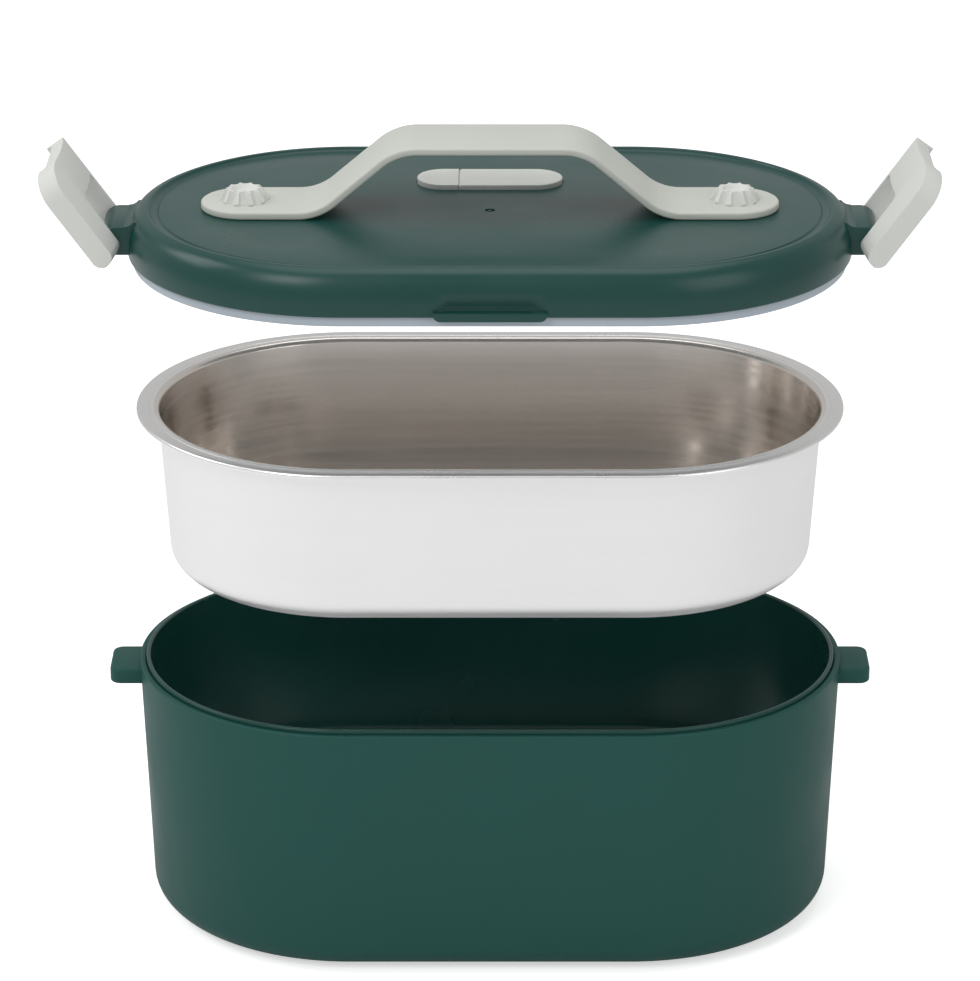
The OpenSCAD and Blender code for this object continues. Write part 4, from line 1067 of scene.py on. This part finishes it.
@dataclass
class Clips:
    """The two end clips: curved plates with a notch that the lug fills when they are closed."""

    lid: Lid
    middle_radius, thickness = 77.7, 6.3
    width, length, corner = 44.0, 32.0, 9.0
    notch_width, notch_depth = 24.6, 17.65
    pin_bore, recess_radius, recess_length = 1.4, 3.0, 24.0

    def closed_clip(self) -> Piece:
        """Makes the right-hand clip in its closed place, on the cover's lower edge."""
        pivot, end = self.lid.pivot, self.lid.plan.end
        reach = self.thickness / 2
        tip, top = pivot.z - self.length, pivot.z + reach
        inner = self.middle_radius - reach
        near, far = end + 40, end + 100

        def across(width: float, low: float, high: float) -> Piece:
            """A box across the plate, between two heights."""
            return block((near, -width / 2, low), (far, width / 2, high))

        plate = rod(self.middle_radius + reach, 90, (end, 0, 0), steps=MANY_STEPS)
        take(plate, rod(inner, 100, (end, 0, 0), steps=MANY_STEPS))
        outline = across(self.width, tip, top)
        round_along(outline, 0, self.corner, lambda co: co.z < tip + 0.1, 14)
        keep(plate, outline)
        self.round_end(plate, top, reach - 0.05)
        foot = pivot.z - self.notch_depth
        notch = across(self.notch_width, foot, pivot.z + 20)
        round_along(notch, 0, 2.5, lambda co: co.z < foot + 0.1, 6)
        take(plate, notch)
        take(plate, rod(self.pin_bore, self.notch_width + 12, pivot, "Y"))
        recess = rod(self.recess_radius, self.recess_length,
                     (end + inner - 1.7, 0, tip + 0.4), "Y")
        soften(recess, 1.5, 6, 60)
        take(plate, recess)
        soften(plate, 0.8, 4, 42)
        return plate

    def round_end(self, plate: Piece, top: float, radius: float) -> None:
        """Rounds the pivot end, at its top, of the curved plate before its notch is cut."""
        with editing(plate, "EDGE"):
            select_edges(plate, lambda one, two: min(one.z, two.z) > top - LEVEL_SLACK
                         and abs(one.x - two.x) < abs(one.y - two.y))
            bevel(radius, 14)

    def build(self) -> None:
        """Makes both clips in their open place."""
        turn = math.radians(self.lid.joints["clip_right_hinge"]["range_deg"][1])
        pivot = Matrix.Translation(self.lid.pivot)
        for side in ("right", "left"):
            clip = self.closed_clip()
            clip.data.transform(pivot @ Matrix.Rotation(-turn, 4, "Y") @ pivot.inverted())
            move(clip, z=self.lid.edge)
            if side == "left":
                mirror(clip)
            finish_piece(clip, f"clip_{side}_plate", GREY_PLASTIC, f"{side}_clip",
                         "grey_plastic", f"clip_{side}")


# ---------------------------------------------------------------- the studio


# Each square lamp's name, place, height of the point that it faces, side and watts.
LAMPS = (
    ("key", (-0.9, -1.3, 1.5), 0.12, 0.8, 11), ("fill", (1.2, -1.2, 1.0), 0.12, 1.0, 5),
    ("top", (0, 0.2, 1.7), 0.1, 1.2, 7), ("side", (-1.25, 0.15, 1.1), 0.2, 0.7, 5),
)


class Studio:
    """The floor, the lamps, the world and the camera.

    The camera has the photograph's size in pixels, its distance in metres, its elevation in
    degrees, its focal length in pixels and the pixel row of the middle of the base's rim.
    """

    image = (980, 981)
    distance, elevation = 1.5, 23.0
    focal_pixels, rim_pixel, sensor = 4532.0, 647.0, 36.0
    floor_size, floor_grey, floor_lift = 8.0, 0.86, 0.56
    world_light, world_mirrored = 0.5, 0.55

    def camera(self, rim_height: float) -> None:
        """Places the camera so that the base's rim falls where the photograph has it."""
        data = bpy.data.cameras.new("camera")
        data.sensor_width = self.sensor
        data.lens = self.focal_pixels / self.image[0] * self.sensor
        data.clip_end = 50
        camera = bpy.data.objects.new("camera", data)
        bpy.context.scene.collection.objects.link(camera)
        angle = math.radians(self.elevation)
        camera.location = (0, -self.distance * math.cos(angle),
                           rim_height + self.distance * math.sin(angle))
        below = math.atan((self.rim_pixel - self.image[1] / 2) / self.focal_pixels)
        camera.rotation_euler = (math.pi / 2 - angle + below, 0, 0)
        bpy.context.scene.camera = camera

    def seen(self, tree: Tree) -> Node:
        """Adds nodes of which the last gives 1 on camera and transmission rays."""
        path = add_node(tree, "LightPath")
        either = add_node(tree, "Math", operation="MAXIMUM")
        wire(tree, (path, "Is Camera Ray", either, 0), (path, "Is Transmission Ray", either, 1))
        return either

    def world(self) -> None:
        """Sets the world: white where it is seen, and a soft light elsewhere."""
        world = bpy.data.worlds.new("studio")
        world.use_nodes = True
        bpy.context.scene.world = world
        tree = world.node_tree
        back = tree.nodes["Background"]
        set_inputs(back, {"Color": (1, 1, 1, 1)})
        path = add_node(tree, "LightPath")
        unseen = add_node(tree, "MapRange", {"To Min": self.world_light,
                                             "To Max": self.world_mirrored})
        strength = add_node(tree, "MapRange", {"To Max": 1.0})
        wire(tree, (path, "Is Glossy Ray", unseen, "Value"),
             (unseen, "Result", strength, "To Min"), (self.seen(tree), 0, strength, "Value"),
             (strength, "Result", back, "Strength"))

    def floor(self) -> None:
        """Adds the pale floor, which is lifted to white where it is seen."""
        floor = add("plane", size=self.floor_size)
        rename(floor, "floor")
        material = bpy.data.materials.new("floor")
        material.use_nodes = True
        tree = material.node_tree
        shader = tree.nodes["Principled BSDF"]
        set_inputs(shader, {"Base Color": (*[self.floor_grey] * 3, 1), "Roughness": 0.9,
                            "Specular IOR Level": 0.0, "Emission Color": (1, 1, 1, 1)})
        strength = add_node(tree, "Math", operation="MULTIPLY")
        strength.inputs[1].default_value = self.floor_lift
        wire(tree, (self.seen(tree), 0, strength, 0), (strength, 0, shader, "Emission Strength"))
        floor.data.materials.append(material)

    def lamps(self) -> None:
        """Hangs the lamps."""
        for name, place, aim, size, watts in LAMPS:
            data = bpy.data.lights.new(name, "AREA")
            data.size = size
            data.energy = watts
            lamp = bpy.data.objects.new(name, data)
            bpy.context.scene.collection.objects.link(lamp)
            lamp.location = place
            way = Vector((0, 0, aim)) - lamp.location
            lamp.rotation_euler = way.to_track_quat("-Z", "Y").to_euler()

    def build(self, rim_height: float) -> None:
        """Sets up the camera, floor, world and lamps, for the rim's height in metres."""
        self.camera(rim_height)
        self.floor()
        self.world()
        self.lamps()
        bpy.context.scene.view_settings.view_transform = "Standard"


def dress_solids(solids: dict[str, Piece]) -> None:
    """Gives the frame's solids that stay their own finishes."""
    for finish, names in SOLID_FINISHES:
        for name in names.split():
            finish.on(solids[name])
            LOG.info("%s: %s", name, finish.name)


def main() -> None:
    """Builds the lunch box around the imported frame, and the studio around it."""
    logging.basicConfig(level=logging.INFO, format="%(message)s")
    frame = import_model()
    joints = {joint["name"]: joint for joint in frame["joints"]}
    Studio().build(box_mm("inner_liner")[1].z * MM)
    plan = Plan.from_frame()
    dress_solids(frame["nodes"])
    Base(plan).build()
    Tray(plan).build()
    lid = Lid(plan, joints)
    lid.build()
    Handle().build()
    Clips(lid).build()


if __name__ == "__main__":
    main()
